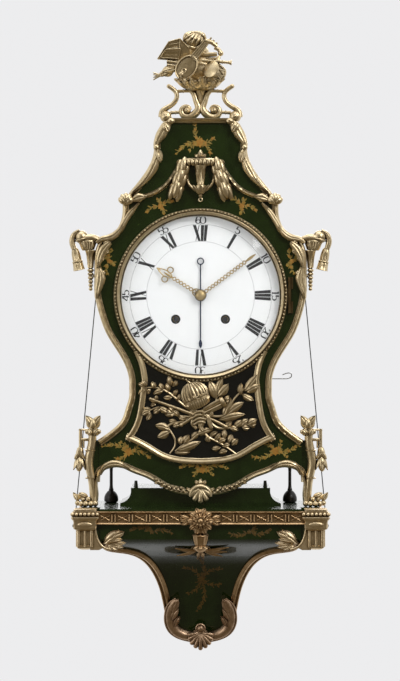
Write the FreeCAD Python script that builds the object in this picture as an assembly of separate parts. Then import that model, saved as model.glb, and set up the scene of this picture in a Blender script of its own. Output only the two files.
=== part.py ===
import FreeCAD, Part
import math
import os
from FreeCAD import Vector

# Waisted bracket clock standing on its wall console, in millimetres.
# X points right seen from the front, Y into the wall, Z up.
# The origin is on the wall plane, level with the top of the console's shelf.

# Fits and clearances
SEAT_FIT = 0.2          # gap between wooden or cast pieces that seat on each other
RUNNING_FIT = 0.05      # radial clearance of arbors and pipes
SWING_GAP = 0.3         # gap between the door and the case front
END_SHAKE = 0.3         # free play of arbors and pipes along their axis

# Depth of the case, from the wall to the front
WALL_GAP = 14.0         # room behind the case for the pull cords
BACK_T = 8.0            # back board
PENDULUM_ROOM = 13.0    # from the pendulum to the back board
PENDULUM_STANDOFF = 15.0    # from the back plate to the pendulum
PLATE_T = 3.0
PLATE_SPAN = 47.0       # clear distance between the plates
MOTION_ROOM = 11.5      # room between the dial and the front plate
DIAL_T = 2.3
FRONT_T = 8.0           # front board
CARCASS_T = 8.0         # side walls
MOULDING_T = 6.0        # how far the gilt mouldings stand off the front
BACK_Y = -WALL_GAP
INSIDE_BACK_Y = BACK_Y - BACK_T
PENDULUM_Y = INSIDE_BACK_Y - PENDULUM_ROOM
BEHIND_PLATE_Y = PENDULUM_Y - PENDULUM_STANDOFF
BACK_PLATE_Y = BEHIND_PLATE_Y - PLATE_T
INSIDE_FRONT_Y = BACK_PLATE_Y - PLATE_SPAN
FRONT_PLATE_Y = INSIDE_FRONT_Y - PLATE_T
DIAL_BACK_Y = FRONT_PLATE_Y - MOTION_ROOM
DIAL_FRONT_Y = DIAL_BACK_Y - DIAL_T
BEHIND_FRONT_Y = DIAL_FRONT_Y - SEAT_FIT
FRONT_Y = BEHIND_FRONT_Y - FRONT_T
RELIEF_Y = FRONT_Y - MOULDING_T

# Dial and door
DIAL_Z = 317.0          # height of the dial's centre above the shelf
SIGHT_R = 118.5         # visible radius of the dial, inner edge of the bezel
BEZEL_W = 12.0
BEZEL_H = 11.0          # height of the bezel off the case front
BEZEL_LIP = 2.5         # width of the lip that holds the glass
BEZEL_FLAT = 4.0        # thickness of that lip
GLASS_T = 2.0
GLASS_RISE = 15.0       # height of the glass dome
OPENING_MARGIN = 5.5    # round opening in the case front beyond the visible dial
DIAL_MARGIN = 9.5       # dial beyond its visible radius
DIAL_FOOT = 60.0        # dial feet from its axes
DIAL_FOOT_R = 2.5
PANEL_T = 3.7
STRIP_W = 9.0
STRIP_T = 4.0
DOOR_TOP_DROP = 71.0    # corner of the panel beside the bezel, below the dial's centre
DOOR_TOP_HALF = 108.0
DOOR_NECK_DROP = 127.0  # narrowest place of the door, below the dial's centre
DOOR_NECK_HALF = 88.0
DOOR_FOOT_RISE = 2.0    # lower corners of the door above the hips of the case
DOOR_FOOT_HALF = 113.0
DOOR_MID_RISE = 47.5    # lowest point of the door above the apron
WINDOW_MARGIN = 9.0     # how far the door overlaps the pendulum window
HINGE_R = 2.6
HINGE_PIN_R = 1.2
HINGE_LENGTH = 54.0
HINGE_GAP = 0.4
WINDING_X = 37.3        # winding arbors, from the dial's centre
WINDING_DROP = 36.0
WINDING_HOLE_R = 6.4
DIAL_R = SIGHT_R + DIAL_MARGIN
DIAL_OPENING_R = SIGHT_R + OPENING_MARGIN
BEZEL_R = SIGHT_R + BEZEL_W
HINGE_X = BEZEL_R + HINGE_R + HINGE_GAP
HINGE_Y = FRONT_Y - HINGE_R - SWING_GAP
DOOR_BACK_Y = FRONT_Y - SWING_GAP
BEZEL_FRONT_Y = DOOR_BACK_Y - BEZEL_H
GLASS_SEAT_Y = BEZEL_FRONT_Y + BEZEL_FLAT
PANEL_FRONT_Y = DOOR_BACK_Y - PANEL_T
WINDING_Z = DIAL_Z - WINDING_DROP

# Outline of the case, half widths and heights of its main points
HOOD_TOP_HALF = 54.8
HOOD_TOP_RISE = 261.0   # heights of the upper points above the dial's centre
HOOD_FOOT_HALF = 105.8
HOOD_FOOT_RISE = 155.0
SHOULDER_HALF = 117.0
SHOULDER_RISE = 138.0
EAR_MARGIN = 19.5       # ears and belly stand this far outside the bezel
EAR_RISE = 85.0
BELLY_MARGIN = 28.7
BELLY_RISE = 23.0
WAIST_HALF = 107.0
WAIST_DROP = 140.0      # waist below the dial's centre
HIP_HALF = 154.0
HIP_Z = 100.0
LEG_Z = 37.0            # lowest point of the front board beside the feet
APRON_RISE_Z = 59.0     # top of the arch beside each foot
APRON_ARCH_INSET = 24.0     # that arch from the hips
APRON_MID_Z = 16.0      # lowest point of the apron on the centre line
FLOOR_Z = 68.0          # underside of the case floor
FLOOR_T = 8.0
CARCASS_INSET = 3.0     # wood stands this far inside the gilt moulding
MOULDING_W = 10.0       # width of the outline moulding
APRON_W = 11.0          # width of the apron moulding
HOOD_TOP_Z = DIAL_Z + HOOD_TOP_RISE
HOOD_FOOT_Z = DIAL_Z + HOOD_FOOT_RISE
SHOULDER_Z = DIAL_Z + SHOULDER_RISE
EAR_Z = DIAL_Z + EAR_RISE
EAR_HALF = BEZEL_R + EAR_MARGIN
BELLY_Z = DIAL_Z + BELLY_RISE
BELLY_HALF = BEZEL_R + BELLY_MARGIN
WAIST_Z = DIAL_Z - WAIST_DROP
DOOR_TOP_Z = DIAL_Z - DOOR_TOP_DROP
DOOR_NECK_Z = DIAL_Z - DOOR_NECK_DROP
DOOR_FOOT_Z = HIP_Z + DOOR_FOOT_RISE
DOOR_MID_Z = APRON_MID_Z + DOOR_MID_RISE

# Shares of drop and spread between two main points of the outline
HOOD_SHARES = ((0.245, 0.28), (0.425, 0.30), (0.66, 0.47), (0.89, 0.81))
EAR_SHARES = ((0.36, 0.015), (0.79, 0.35))
BELLY_SHARES = ((0.226, 0.70), (0.66, 1.0))
WAIST_SHARES = ((0.11, 0.0), (0.288, 0.115), (0.497, 0.349), (0.656, 0.655), (0.79, 0.885), (0.93, 1.0))
HIP_SHARES = ((0.143, 0.0), (0.377, 0.106), (0.61, 0.243), (0.753, 0.447))
ARCH_SHARES = ((0.40, 0.03), (0.62, 0.11), (0.80, 0.37))
APRON_SHARES = ((0.042, 0.106), (0.17, 0.20), (0.36, 0.365), (0.675, 0.545), (0.855, 0.66), (0.965, 0.80))

# Pipes and hands on the dial's axis, from the inside out
ARBOR_R = 1.5
PIPE_T = 1.45
CANNON_R = ARBOR_R + RUNNING_FIT + PIPE_T
HOUR_PIPE_R = CANNON_R + RUNNING_FIT + PIPE_T
ALARM_PIPE_R = HOUR_PIPE_R + RUNNING_FIT + PIPE_T
DIAL_HOLE_GAP = 0.5
HAND_T = 1.0
HAND_STEP = 2.7         # spacing of the hands along the axis
ALARM_HAND_Y = DIAL_FRONT_Y - HAND_STEP
HOUR_HAND_Y = ALARM_HAND_Y - HAND_STEP
MINUTE_HAND_Y = HOUR_HAND_Y - HAND_STEP
MINUTE_LENGTH = 104.0
HOUR_LENGTH = 78.0
ALARM_LENGTH = 80.0
ALARM_TAIL = 51.0
MINUTE_ANGLE = 53.3     # clockwise from twelve, as photographed
HOUR_ANGLE = 302.0
BOSS_R = 8.2
BOSS_H = 5.0

# Movement
PLATE_HALF = 86.0
PLATE_RISE = 90.0       # plate edges above and below the dial's centre
PLATE_DROP = 85.0
PILLAR_R = 4.0
PILLAR_INSET = 9.0
SEAT_BOARD_T = 12.0
SEAT_OVERHANG = 3.0     # seat board behind the back plate
SEAT_TOP_Z = DIAL_Z - PLATE_DROP
BARREL_R = 26.0
BARREL_WALL = 1.6
BARREL_DEPTH = 25.0
BARREL_ARBOR_R = 4.0
COLLAR_T = 5.0          # wall of the collar between drum and great wheel
SQUARE_HALF = 2.8       # winding square
SQUARE_DEEP = 0.6       # its end behind the face of the dial
WHEEL_T = 2.2
WHEEL_GAP = 0.8         # free room between neighbouring wheels
GREAT_TEETH = 72
CENTRE_PINION_TEETH = 12
CENTRE_TEETH = 60
THIRD_PINION_TEETH = 10
THIRD_MODULE = 0.9
THIRD_TEETH = 48
ESCAPE_PINION_TEETH = 8
ESCAPE_MODULE = 0.8
ESCAPE_TEETH = 30
ESCAPE_R = 14.5
ESCAPE_T = 1.5
CANNON_TEETH = 12
MINUTE_TEETH = 36
MINUTE_PINION_TEETH = 10
HOUR_TEETH = 40
MOTION_DISTANCE = 24.0  # from the dial's axis to the minute wheel's stud
STUD_R = 2.0
HUB_T = 1.4
THIRD_BEARING = 68.0    # direction of the third arbor from the centre, in degrees
PIN_BEARING = 100.0     # direction of the pin wheel's arbor from the strike barrel
PIN_WHEEL_R = 23.0
PIN_COUNT = 10
PIN_R = 0.9
PIN_H = 1.6
PIN_INSET = 5.0
PIVOT_R = 1.2
ANCHOR_RISE = 24.0      # pallet arbor above the escape arbor
PALLET_GAP = 1.6        # pallets clear of the escape wheel over the whole swing
PALLET_BEARING = 48.0   # pallets on each side of the upright, in degrees
CRUTCH_LENGTH = 60.0
PENDULUM_LENGTH = 239.0
BOB_R = 27.0
BOB_T = 9.0
ROD_R = 1.4
COCK_W = 10.0           # cock that carries the pendulum
COCK_T = 5.0
COCK_RISE = 7.0         # underside of the cock above the pendulum's pin
EYE_T = 3.0             # eye of the pendulum on that pin
EYE_WALL = 2.1
BELL_R = 38.0
BELL_H = 30.0
BELL_T = 2.0
POST_BORE = 3.0         # hole in the bell's crown
BELL_RISE = 18.0        # bell rim above the plates
HAMMER_X = -56.0
HAMMER_DROP = 9.0       # hammer arbor below the top of the plates
HAMMER_HEAD_R = 5.0
HAMMER_GAP = 1.5

# Pull cords and trip wire
CORD_R = 0.8
PULL_RING_WIRE_R = 0.6
CORD_TOP_INSET = 4.2    # knot above the upper guide, from the belly
CORD_TOP_DROP = 6.0     # and below the ears
CORD_END_REACH = 17.5   # pull ring outside the shelf
CORD_END_DROP = 36.0    # and below its top
CORD_Y = -WALL_GAP / 2
EYE_R = 2.4
EYE_H = 3.0
EYE_GAP = 0.3
EYE_SHANK_R = 1.3
EYE_FOOT_INSET = 10.0   # where an upper guide is let into the back board, from the belly
UPPER_EYE_DROP = 28.0   # upper guide below the knot
LOWER_EYE_Z = -13.0
KNOT_R = 2.2
PULL_RING_R = 3.4
WIRE_R = 0.7
WIRE_SETBACK = 35.0     # trip wire behind the case front
WIRE_RISE = 14.0        # and above the waist
WIRE_REACH = 31.0       # how far the wire stands out from the waist
WIRE_TAIL = 24.0        # and how far it reaches inside
WIRE_BEND = 6.0
WIRE_Y = FRONT_Y + WIRE_SETBACK
WIRE_Z = WAIST_Z + WIRE_RISE

# Console
SHELF_MARGIN = 24.0     # shelf beyond the hips of the case
SHELF_T = 23.0
SHELF_PROUD = 53.0      # shelf in front of the case
BAND_T = 6.0
BAND_LIP = 3.0          # shelf edge left bare above the gilt band
CORNER_BITE = 29.0      # corner blocks reach this far into the shelf
CORNER_W = 42.0
CORNER_DEPTH = 44.0
CORNER_PROUD = 9.0      # blocks stand in front of the shelf
CORNER_CAP_H = 28.0
CORNER_STEP = 10.0      # fluted part is this much narrower than its cap
CORNER_DROP = 58.0
CORNER_TOE = 8.0        # rounded lower end of the fluted part
CORNER_BEAD_R = 2.6
FLUTE_R = 3.0
FLUTE_COUNT = 3
FRIEZE_SETBACK = 4.0    # frieze behind the front of the shelf
FRIEZE_H = 22.0
BODY_H = 189.0          # console body below the shelf
BODY_WALL = 12.0
BODY_FOOT_HALF = 46.0
BODY_FOOT_DEPTH = 52.0
FOOT_ROUND_W = 32.0     # rounded lower corners of the body, hidden behind the base mount
FOOT_ROUND_H = 18.0
FOOT_ROUND_SHARES = ((0.44, 0.23), (0.80, 0.57))
EDGE_W = 10.5
EDGE_T = 5.0
EDGE_END_RISE = 44.0    # lower end of the edge mouldings above the body's foot
EDGE_HEAD_DROP = 6.0    # their upper end below the frieze
BASE_T = 11.0
BASE_DROP = 21.0        # tip of the base mount below the body
BASE_HORN_RISE = 70.0   # its horns above the body's foot
BASE_MARGIN = 6.0       # its widest place beyond the body's foot
CONSOLE_BACK_T = 10.0
UPSTAND_HALF = 95.0
UPSTAND_H = 20.0
SCREW_X = 60.0
SCREW_DROP = 60.0       # wall screws below the top of the shelf
SCREW_R = 3.0
HANGING_DROP = 38.0     # hanging hole below the top of the hood
HANGING_R = 5.0
PLINTH_H = 27.0
PLINTH_TOP_INSET = 49.0     # plinth inside the hips of the case
PLINTH_FOOT_INSET = 33.0
PLINTH_SETBACK = 13.0   # plinth behind the case front
PLINTH_STEP = 4.0
PLINTH_COVE = (3.0, 8.0)    # waist of the plinth's side, out from its top and up from its step
POST_R = 3.6
POST_H = 10.0
POST_SETBACK = 20.0
SHELF_HALF = HIP_HALF + SHELF_MARGIN
SHELF_FRONT_Y = FRONT_Y - SHELF_PROUD
CORNER_X = SHELF_HALF - CORNER_BITE
FRIEZE_Y = SHELF_FRONT_Y + FRIEZE_SETBACK
FRIEZE_Z = -SHELF_T - FRIEZE_H
BODY_BOTTOM_Z = -SHELF_T - BODY_H
BODY_FOOT_Y = -BODY_FOOT_DEPTH
EDGE_END_Z = BODY_BOTTOM_Z + EDGE_END_RISE
BASE_BOTTOM_Z = BODY_BOTTOM_Z - BASE_DROP
BASE_HORN_Z = BODY_BOTTOM_Z + BASE_HORN_RISE
BASE_HALF = BODY_FOOT_HALF + BASE_MARGIN
HANGING_Z = HOOD_TOP_Z - HANGING_DROP
PLINTH_TOP_HALF = HIP_HALF - PLINTH_TOP_INSET
PLINTH_FOOT_HALF = HIP_HALF - PLINTH_FOOT_INSET
PLINTH_FRONT_Y = FRONT_Y + PLINTH_SETBACK
BODY_SHARES = ((0.055, 0.02), (0.126, 0.36), (0.198, 0.592), (0.335, 0.752), (0.51, 0.855), (0.69, 0.914))
COVE_SHARES = ((0.042, 0.066), (0.10, 0.197), (0.186, 0.377), (0.30, 0.541), (0.46, 0.705), (0.66, 0.836))

# Cast ornaments
URN_REACH = 8.5         # axis of the side urns outside the belly
URN_RISE = 13.0         # their top above the ears
URN_LENGTH = 92.0
URN_BOWL_R = 10.5
FOOT_REACH = 7.0        # axis of the front feet outside the hips
FOOT_PROUD = 14.0       # feet in front of the case
FOOT_DEPTH = 24.0
FOOT_RISE = 7.0         # top of the pilaster above the hips
FOOT_HALF = 8.0
FOOT_SPREAD = 29.0      # outer end of the scroll foot from its axis
TULIP_H = 30.0
REAR_FOOT_INSET = 16.5  # rear feet inside the hips
REAR_FOOT_SETBACK = 20.0    # and in front of the back board
REAR_FOOT_R = 11.0
FINIAL_SETBACK = 37.0   # finial behind the case front
CALYX_RISE = 52.0       # underside of the calyx above the hood
FINIAL_RISE = 136.5     # top of the finial above the hood
SCROLL_R = 4.0
SCROLL_BALL_R = 8.5
TROPHY_DROP = 40.0      # heart of the door trophy below the neck of the door
URN_TOP_Z = EAR_Z + URN_RISE
URN_TIP_Z = URN_TOP_Z - URN_LENGTH
FOOT_X = HIP_HALF + FOOT_REACH
FOOT_FRONT_Y = FRONT_Y - FOOT_PROUD
FOOT_TOP_Z = HIP_Z + FOOT_RISE
FOOT_OUTER_X = FOOT_X + FOOT_SPREAD
TULIP_TOP_Z = FOOT_TOP_Z + TULIP_H
REAR_FOOT_X = HIP_HALF - REAR_FOOT_INSET
REAR_FOOT_Y = BACK_Y - REAR_FOOT_SETBACK
FINIAL_Y = FRONT_Y + FINIAL_SETBACK
CALYX_Z = HOOD_TOP_Z + CALYX_RISE
FINIAL_TOP_Z = HOOD_TOP_Z + FINIAL_RISE
TROPHY_Z = DOOR_NECK_Z - TROPHY_DROP
CORD_TOP = (BELLY_HALF - CORD_TOP_INSET, EAR_Z - CORD_TOP_DROP)
CORD_END = (SHELF_HALF + CORD_END_REACH, -CORD_END_DROP)
UPPER_EYE_Z = CORD_TOP[1] - UPPER_EYE_DROP

NODES = {}


def node(name):
    """Register the function below as the maker of one named piece."""
    def keep(maker):
        NODES[name] = maker
        return maker
    return keep


def front_plane(x, z):
    return Vector(x, 0, z)


def side_plane(y, z):
    return Vector(0, y, z)


def top_plane(radius, y):
    return Vector(radius, y, 0)


def curve_edge(points, place=front_plane):
    """Line through two points, or a smooth curve through more."""
    spots = [place(a, b) for a, b in points]
    if len(spots) == 2:
        return Part.LineSegment(*spots).toShape()
    curve = Part.BSplineCurve()
    curve.interpolate(spots)
    return curve.toShape()


def closed_face(runs, place=front_plane):
    edges = [curve_edge(run, place) for run in runs]
    return Part.Face(Part.Wire(Part.__sortEdges__(edges)))


def chain(*points):
    """Straight runs through the points and back to the first."""
    ends = points[1:] + points[:1]
    return [list(pair) for pair in zip(points, ends)]


def mirrored(runs):
    return [[(-a, b) for a, b in reversed(run)] for run in reversed(runs)]


def slab(face, y_front, y_back):
    moved = face.translated(Vector(0, y_front, 0))
    return moved.extrude(Vector(0, y_back - y_front, 0))


def box(x0, x1, y0, y1, z0, z1):
    return Part.makeBox(x1 - x0, y1 - y0, z1 - z0, Vector(x0, y0, z0))


def rod_y(x, z, y0, y1, radius):
    return Part.makeCylinder(radius, y1 - y0, Vector(x, y0, z), Vector(0, 1, 0))


def rod(start, end, radius):
    way = end - start
    return Part.makeCylinder(radius, way.Length, start, way)


def ball(x, y, z, radius):
    return Part.makeSphere(radius, Vector(x, y, z))


def joined(solids):
    whole = solids[0].multiFuse(solids[1:]) if len(solids) > 1 else solids[0]
    return whole.removeSplitter()


def flip(shape):
    return shape.mirror(Vector(0, 0, 0), Vector(1, 0, 0))


def pair(shape):
    """The piece and its mirror image on the other side of the clock."""
    return Part.makeCompound(shape.Solids + flip(shape).Solids)


def turned(profile, x, y):
    """Turn a profile of (radius, height) points about an upright axis."""
    face = closed_face(chain(*profile))
    whole = face.revolve(Vector(0, 0, 0), Vector(0, 0, 1), 360)
    return whole.translated(Vector(x, y, 0))


def turned_on_dial(runs):
    """Turn a profile of (radius, depth) runs about the dial's axis."""
    face = closed_face(runs, top_plane)
    whole = face.revolve(Vector(0, 0, 0), Vector(0, 1, 0), 360)
    return whole.translated(Vector(0, 0, DIAL_Z))


def between(start, end, shares):
    """Points from start to end, each at its share of the drop and of the spread."""
    spread = end[0] - start[0]
    drop = end[1] - start[1]
    middle = [(start[0] + spread * across, start[1] + drop * down) for down, across in shares]
    return [start] + middle + [end]


def unit(a, b):
    length = math.hypot(b[0] - a[0], b[1] - a[1])
    return (b[0] - a[0]) / length, (b[1] - a[1]) / length


def shifted(runs, inset):
    """Runs moved to the right of their travel, with mitred corners."""
    points = [runs[0][0]]
    for run in runs:
        points.extend(run[1:])
    ways = [unit(a, b) for a, b in zip(points, points[1:])]
    moved = []
    for index, (px, pz) in enumerate(points):
        before = ways[max(index - 1, 0)]
        after = ways[min(index, len(ways) - 1)]
        nx = before[1] + after[1]
        nz = -before[0] - after[0]
        scale = 1 + before[0] * after[0] + before[1] * after[1]
        moved.append((px + inset * nx / scale, pz + inset * nz / scale))
    result = []
    first = 0
    for run in runs:
        last = first + len(run) - 1
        result.append(moved[first:last + 1])
        first = last
    return result


def back_along(runs):
    return [list(reversed(run)) for run in reversed(runs)]


def band_face(runs, inner, outer):
    """Strip between two parallel lines of an outline."""
    one = shifted(runs, inner)
    two = shifted(runs, outer)
    return closed_face(one + [[one[-1][-1], two[-1][-1]]] + back_along(two) + [[two[0][0], one[0][0]]])


def leaf(x, z, bearing, length, width, y_front, y_back):
    """Pointed leaf lying in the XZ plane, from its foot along a bearing."""
    angle = math.radians(bearing)
    along = Vector(math.cos(angle), 0, math.sin(angle))
    across = Vector(-along.z, 0, along.x)
    foot = Vector(x, 0, z)
    tip = foot + along * length
    belly = foot + along * (0.45 * length)
    one = Part.Arc(foot, belly + across * (width / 2), tip).toShape()
    two = Part.Arc(tip, belly - across * (width / 2), foot).toShape()
    return slab(Part.Face(Part.Wire([one, two])), y_front, y_back)


def rounded_wire(points):
    """Straight runs joined by tangent arcs as large as the runs allow."""
    edges = []
    start = points[0]
    for before, corner, after in zip(points, points[1:], points[2:]):
        inward = (before - corner).normalize()
        outward = (after - corner).normalize()
        reach = 0.45 * min((before - corner).Length, (after - corner).Length)
        half_turn = (math.pi - inward.getAngle(outward)) / 2
        radius = reach / math.tan(half_turn)
        bisector = (inward + outward).normalize()
        middle = corner + bisector * (radius / math.cos(half_turn) - radius)
        entry = corner + inward * reach
        leave = corner + outward * reach
        edges.append(Part.LineSegment(start, entry).toShape())
        edges.append(Part.Arc(entry, middle, leave).toShape())
        start = leave
    edges.append(Part.LineSegment(start, points[-1]).toShape())
    return Part.Wire(edges)


def tube(points, radius):
    way = rounded_wire(points)
    ring = Part.Wire(Part.Circle(points[0], points[1] - points[0], radius).toShape())
    return way.makePipeShell([ring], True, False)


def gear(x, z, y0, y1, module, teeth, bearing):
    """Toothed wheel with a tooth on the given bearing."""
    pitch_r = module * teeth / 2
    root_r = pitch_r - 1.25 * module
    tip_r = pitch_r + 0.85 * module
    step = 2 * math.pi / teeth
    corners = []
    for count in range(teeth):
        middle = math.radians(bearing) + count * step
        for radius, share in ((root_r, -0.25), (tip_r, -0.09), (tip_r, 0.09), (root_r, 0.25)):
            angle = middle + share * step
            corners.append(Vector(x + radius * math.cos(angle), 0, z + radius * math.sin(angle)))
    outline = Part.makePolygon(corners + corners[:1])
    return slab(Part.Face(outline), y0, y1)


def bearing_between(a, b):
    return math.degrees(math.atan2(b[1] - a[1], b[0] - a[0]))


def gear_pair(first, second, y0, y1, module, first_teeth, second_teeth):
    """Two meshed wheels: a tooth of the first lies in a gap of the second."""
    way = bearing_between(first, second)
    one = gear(first[0], first[1], y0, y1, module, first_teeth, way)
    two = gear(second[0], second[1], y0, y1, module, second_teeth, way + 180 + 180 / second_teeth)
    return one, two


# Outline of the case, right half from the top centre down
HOOD_TOP = (HOOD_TOP_HALF, HOOD_TOP_Z)
HOOD_FOOT = (HOOD_FOOT_HALF, HOOD_FOOT_Z)
SHOULDER = (SHOULDER_HALF, SHOULDER_Z)
EAR = (EAR_HALF, EAR_Z)
BELLY = (BELLY_HALF, BELLY_Z)
WAIST = (WAIST_HALF, WAIST_Z)
HIP = (HIP_HALF, HIP_Z)
TOP_RUN = [(0.0, HOOD_TOP_Z), HOOD_TOP]
SIDE_RUNS = [
    between(HOOD_TOP, HOOD_FOOT, HOOD_SHARES),
    [HOOD_FOOT, SHOULDER],
    between(SHOULDER, EAR, EAR_SHARES),
    between(EAR, BELLY, BELLY_SHARES)[:-1] + between(BELLY, WAIST, WAIST_SHARES)[:-1]
    + between(WAIST, HIP, HIP_SHARES),
]
APRON_ARCH = (HIP_HALF - APRON_ARCH_INSET, APRON_RISE_Z)
APRON_FOOT = (HIP_HALF - CARCASS_INSET - SEAT_FIT, LEG_Z)
APRON_MID = (0.0, APRON_MID_Z)


def apron_runs():
    """Lower edge of the front board, from the right foot to the centre."""
    rise = between(APRON_FOOT, APRON_ARCH, ARCH_SHARES)
    return [rise[:-1] + between(APRON_ARCH, APRON_MID, APRON_SHARES)]


def case_face(inset, bottom_z):
    """Face of the case outline, moved inwards, closed by a level bottom."""
    runs = shifted([TOP_RUN] + SIDE_RUNS, inset)
    foot = runs[-1][-1]
    runs = runs + [[foot, (foot[0], bottom_z)], [(foot[0], bottom_z), (0.0, bottom_z)]]
    return closed_face(runs + mirrored(runs))


# Positions in the movement
CENTRE = (0.0, DIAL_Z)
GOING = (WINDING_X, WINDING_Z)
STRIKE = (-WINDING_X, WINDING_Z)
BARREL_DISTANCE = math.hypot(WINDING_X, WINDING_DROP)
GREAT_MODULE = 2 * BARREL_DISTANCE / (GREAT_TEETH + CENTRE_PINION_TEETH)
THIRD_DISTANCE = THIRD_MODULE * (CENTRE_TEETH + THIRD_PINION_TEETH) / 2
ESCAPE_DISTANCE = ESCAPE_MODULE * (THIRD_TEETH + ESCAPE_PINION_TEETH) / 2
THIRD = (THIRD_DISTANCE * math.cos(math.radians(THIRD_BEARING)),
         DIAL_Z + THIRD_DISTANCE * math.sin(math.radians(THIRD_BEARING)))
ESCAPE = (0.0, THIRD[1] + math.sqrt(ESCAPE_DISTANCE ** 2 - THIRD[0] ** 2))
ANCHOR = (0.0, ESCAPE[1] + ANCHOR_RISE)
PIN_ARBOR = (STRIKE[0] + BARREL_DISTANCE * math.cos(math.radians(PIN_BEARING)),
             STRIKE[1] + BARREL_DISTANCE * math.sin(math.radians(PIN_BEARING)))
MINUTE_STUD = (-MOTION_DISTANCE, DIAL_Z)
PLATE_TOP_Z = DIAL_Z + PLATE_RISE
BELL_Y = (FRONT_PLATE_Y + BEHIND_PLATE_Y) / 2
BELL_RIM_Z = PLATE_TOP_Z + BELL_RISE
HAMMER = (HAMMER_X, PLATE_TOP_Z - HAMMER_DROP)
LAYER = WHEEL_T + 2 * WHEEL_GAP     # room taken by one wheel between the plates
GOING_WHEEL_Y = INSIDE_FRONT_Y + WHEEL_GAP
DRUM_Y = GOING_WHEEL_Y + LAYER
STRIKE_WHEEL_Y = DRUM_Y + BARREL_DEPTH + WHEEL_GAP
CENTRE_WHEEL_Y = STRIKE_WHEEL_Y + LAYER
PIN_WHEEL_Y = CENTRE_WHEEL_Y + LAYER
THIRD_WHEEL_Y = STRIKE_WHEEL_Y - 2 * LAYER
ESCAPE_WHEEL_Y = (DRUM_Y + THIRD_WHEEL_Y) / 2
CANNON_Y = FRONT_PLATE_Y - LAYER + WHEEL_GAP
HOUR_WHEEL_Y = CANNON_Y - LAYER


# Console

BODY_RUNS = [
    [(0.0, -SHELF_T), (CORNER_X - SEAT_FIT, -SHELF_T)],
    [(CORNER_X - SEAT_FIT, -SHELF_T), (CORNER_X - SEAT_FIT, FRIEZE_Z)],
    between((CORNER_X - SEAT_FIT, FRIEZE_Z), (BODY_FOOT_HALF, BODY_BOTTOM_Z), BODY_SHARES),
]
PROFILE_RUNS = [
    [(FRIEZE_Y, -SHELF_T), (FRIEZE_Y, FRIEZE_Z)],
    between((FRIEZE_Y, FRIEZE_Z), (BODY_FOOT_Y, BODY_BOTTOM_Z), COVE_SHARES),
]


def console_outline(inset, top_z):
    """Console seen from the front, with the side and cove edges moved inwards."""
    runs = shifted(BODY_RUNS[1:], inset)
    head = runs[0][0]
    foot = runs[-1][-1]
    right = [[(0.0, top_z), (head[0], top_z)], [(head[0], top_z), head]] if top_z > head[1] else []
    right = right or [[(0.0, head[1]), head]]
    runs = right + runs + [[foot, (0.0, foot[1])]]
    return closed_face(runs + mirrored(runs))


def console_profile(inset, top_z):
    """Console seen from the side, as a solid across its whole width."""
    runs = shifted(PROFILE_RUNS, -inset)
    head = runs[0][0]
    foot = runs[-1][-1]
    closing = [[foot, (0.0, foot[1])], [(0.0, foot[1]), (0.0, top_z)], [(0.0, top_z), (head[0], top_z)]]
    if top_z > head[1]:
        closing.append([(head[0], top_z), head])
    face = closed_face(runs + closing, side_plane)
    return face.translated(Vector(-SHELF_HALF, 0, 0)).extrude(Vector(2 * SHELF_HALF, 0, 0))


def console_block(inset, side_inset, top_z, y_back=0.0):
    return slab(console_outline(inset, top_z), SHELF_FRONT_Y * 1.2, y_back).common(
        console_profile(side_inset, top_z))


def foot_corner():
    """What lies outside the rounded lower right corner of the console's body."""
    high = (BODY_FOOT_HALF + EDGE_T, BODY_BOTTOM_Z + FOOT_ROUND_H)
    low = (BODY_FOOT_HALF - FOOT_ROUND_W, BODY_BOTTOM_Z)
    outer_x, under_z = high[0] + EDGE_W, low[1] - EDGE_W
    edges = [low, (low[0], under_z), (outer_x, under_z), (outer_x, high[1]), high]
    runs = [between(high, low, FOOT_ROUND_SHARES)] + [list(ends) for ends in zip(edges, edges[1:])]
    return slab(closed_face(runs), SHELF_FRONT_Y, 1.0)


@node("console_body")
def console_body():
    whole = console_block(0.0, 0.0, -SHELF_T)
    hollow = slab(console_outline(BODY_WALL, 0.0), SHELF_FRONT_Y * 1.2, 1.0).common(
        console_profile(BODY_WALL, 0.0))
    floor = box(-SHELF_HALF, SHELF_HALF, SHELF_FRONT_Y, 1.0, BODY_BOTTOM_Z - 20, BODY_BOTTOM_Z + BODY_WALL)
    return whole.cut(hollow.cut(floor)).cut(pair(foot_corner()))


@node("console_back_board")
def console_back_board():
    outline = slab(console_outline(BODY_WALL + SEAT_FIT, 0.0), -CONSOLE_BACK_T, 0.0)
    room = box(-SHELF_HALF, SHELF_HALF, -CONSOLE_BACK_T, 0.0, BODY_BOTTOM_Z + BODY_WALL + SEAT_FIT, -SHELF_T)
    upstand = box(-UPSTAND_HALF, UPSTAND_HALF, -CONSOLE_BACK_T, 0.0, -SHELF_T - 1.0, UPSTAND_H)
    board = outline.common(room).fuse(upstand)
    for x in (-SCREW_X, SCREW_X):
        board = board.cut(rod_y(x, -SCREW_DROP, -CONSOLE_BACK_T, 0.0, SCREW_R))
    return board.removeSplitter()


@node("console_shelf")
def console_shelf():
    board = box(-SHELF_HALF, SHELF_HALF, SHELF_FRONT_Y, 0.0, -SHELF_T, 0.0)
    notch = UPSTAND_HALF + SEAT_FIT
    board = board.cut(box(-notch, notch, -CONSOLE_BACK_T - SEAT_FIT, 0.0, -SHELF_T, 0.0))
    for side in (-1, 1):
        inner = side * CORNER_X
        outer = side * SHELF_HALF
        corner = box(min(inner, outer), max(inner, outer), SHELF_FRONT_Y,
                     corner_back_y(), -SHELF_T, 0.0)
        board = board.cut(corner)
    return board


def corner_front_y():
    return SHELF_FRONT_Y - CORNER_PROUD


def corner_back_y():
    return corner_front_y() + CORNER_DEPTH


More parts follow.
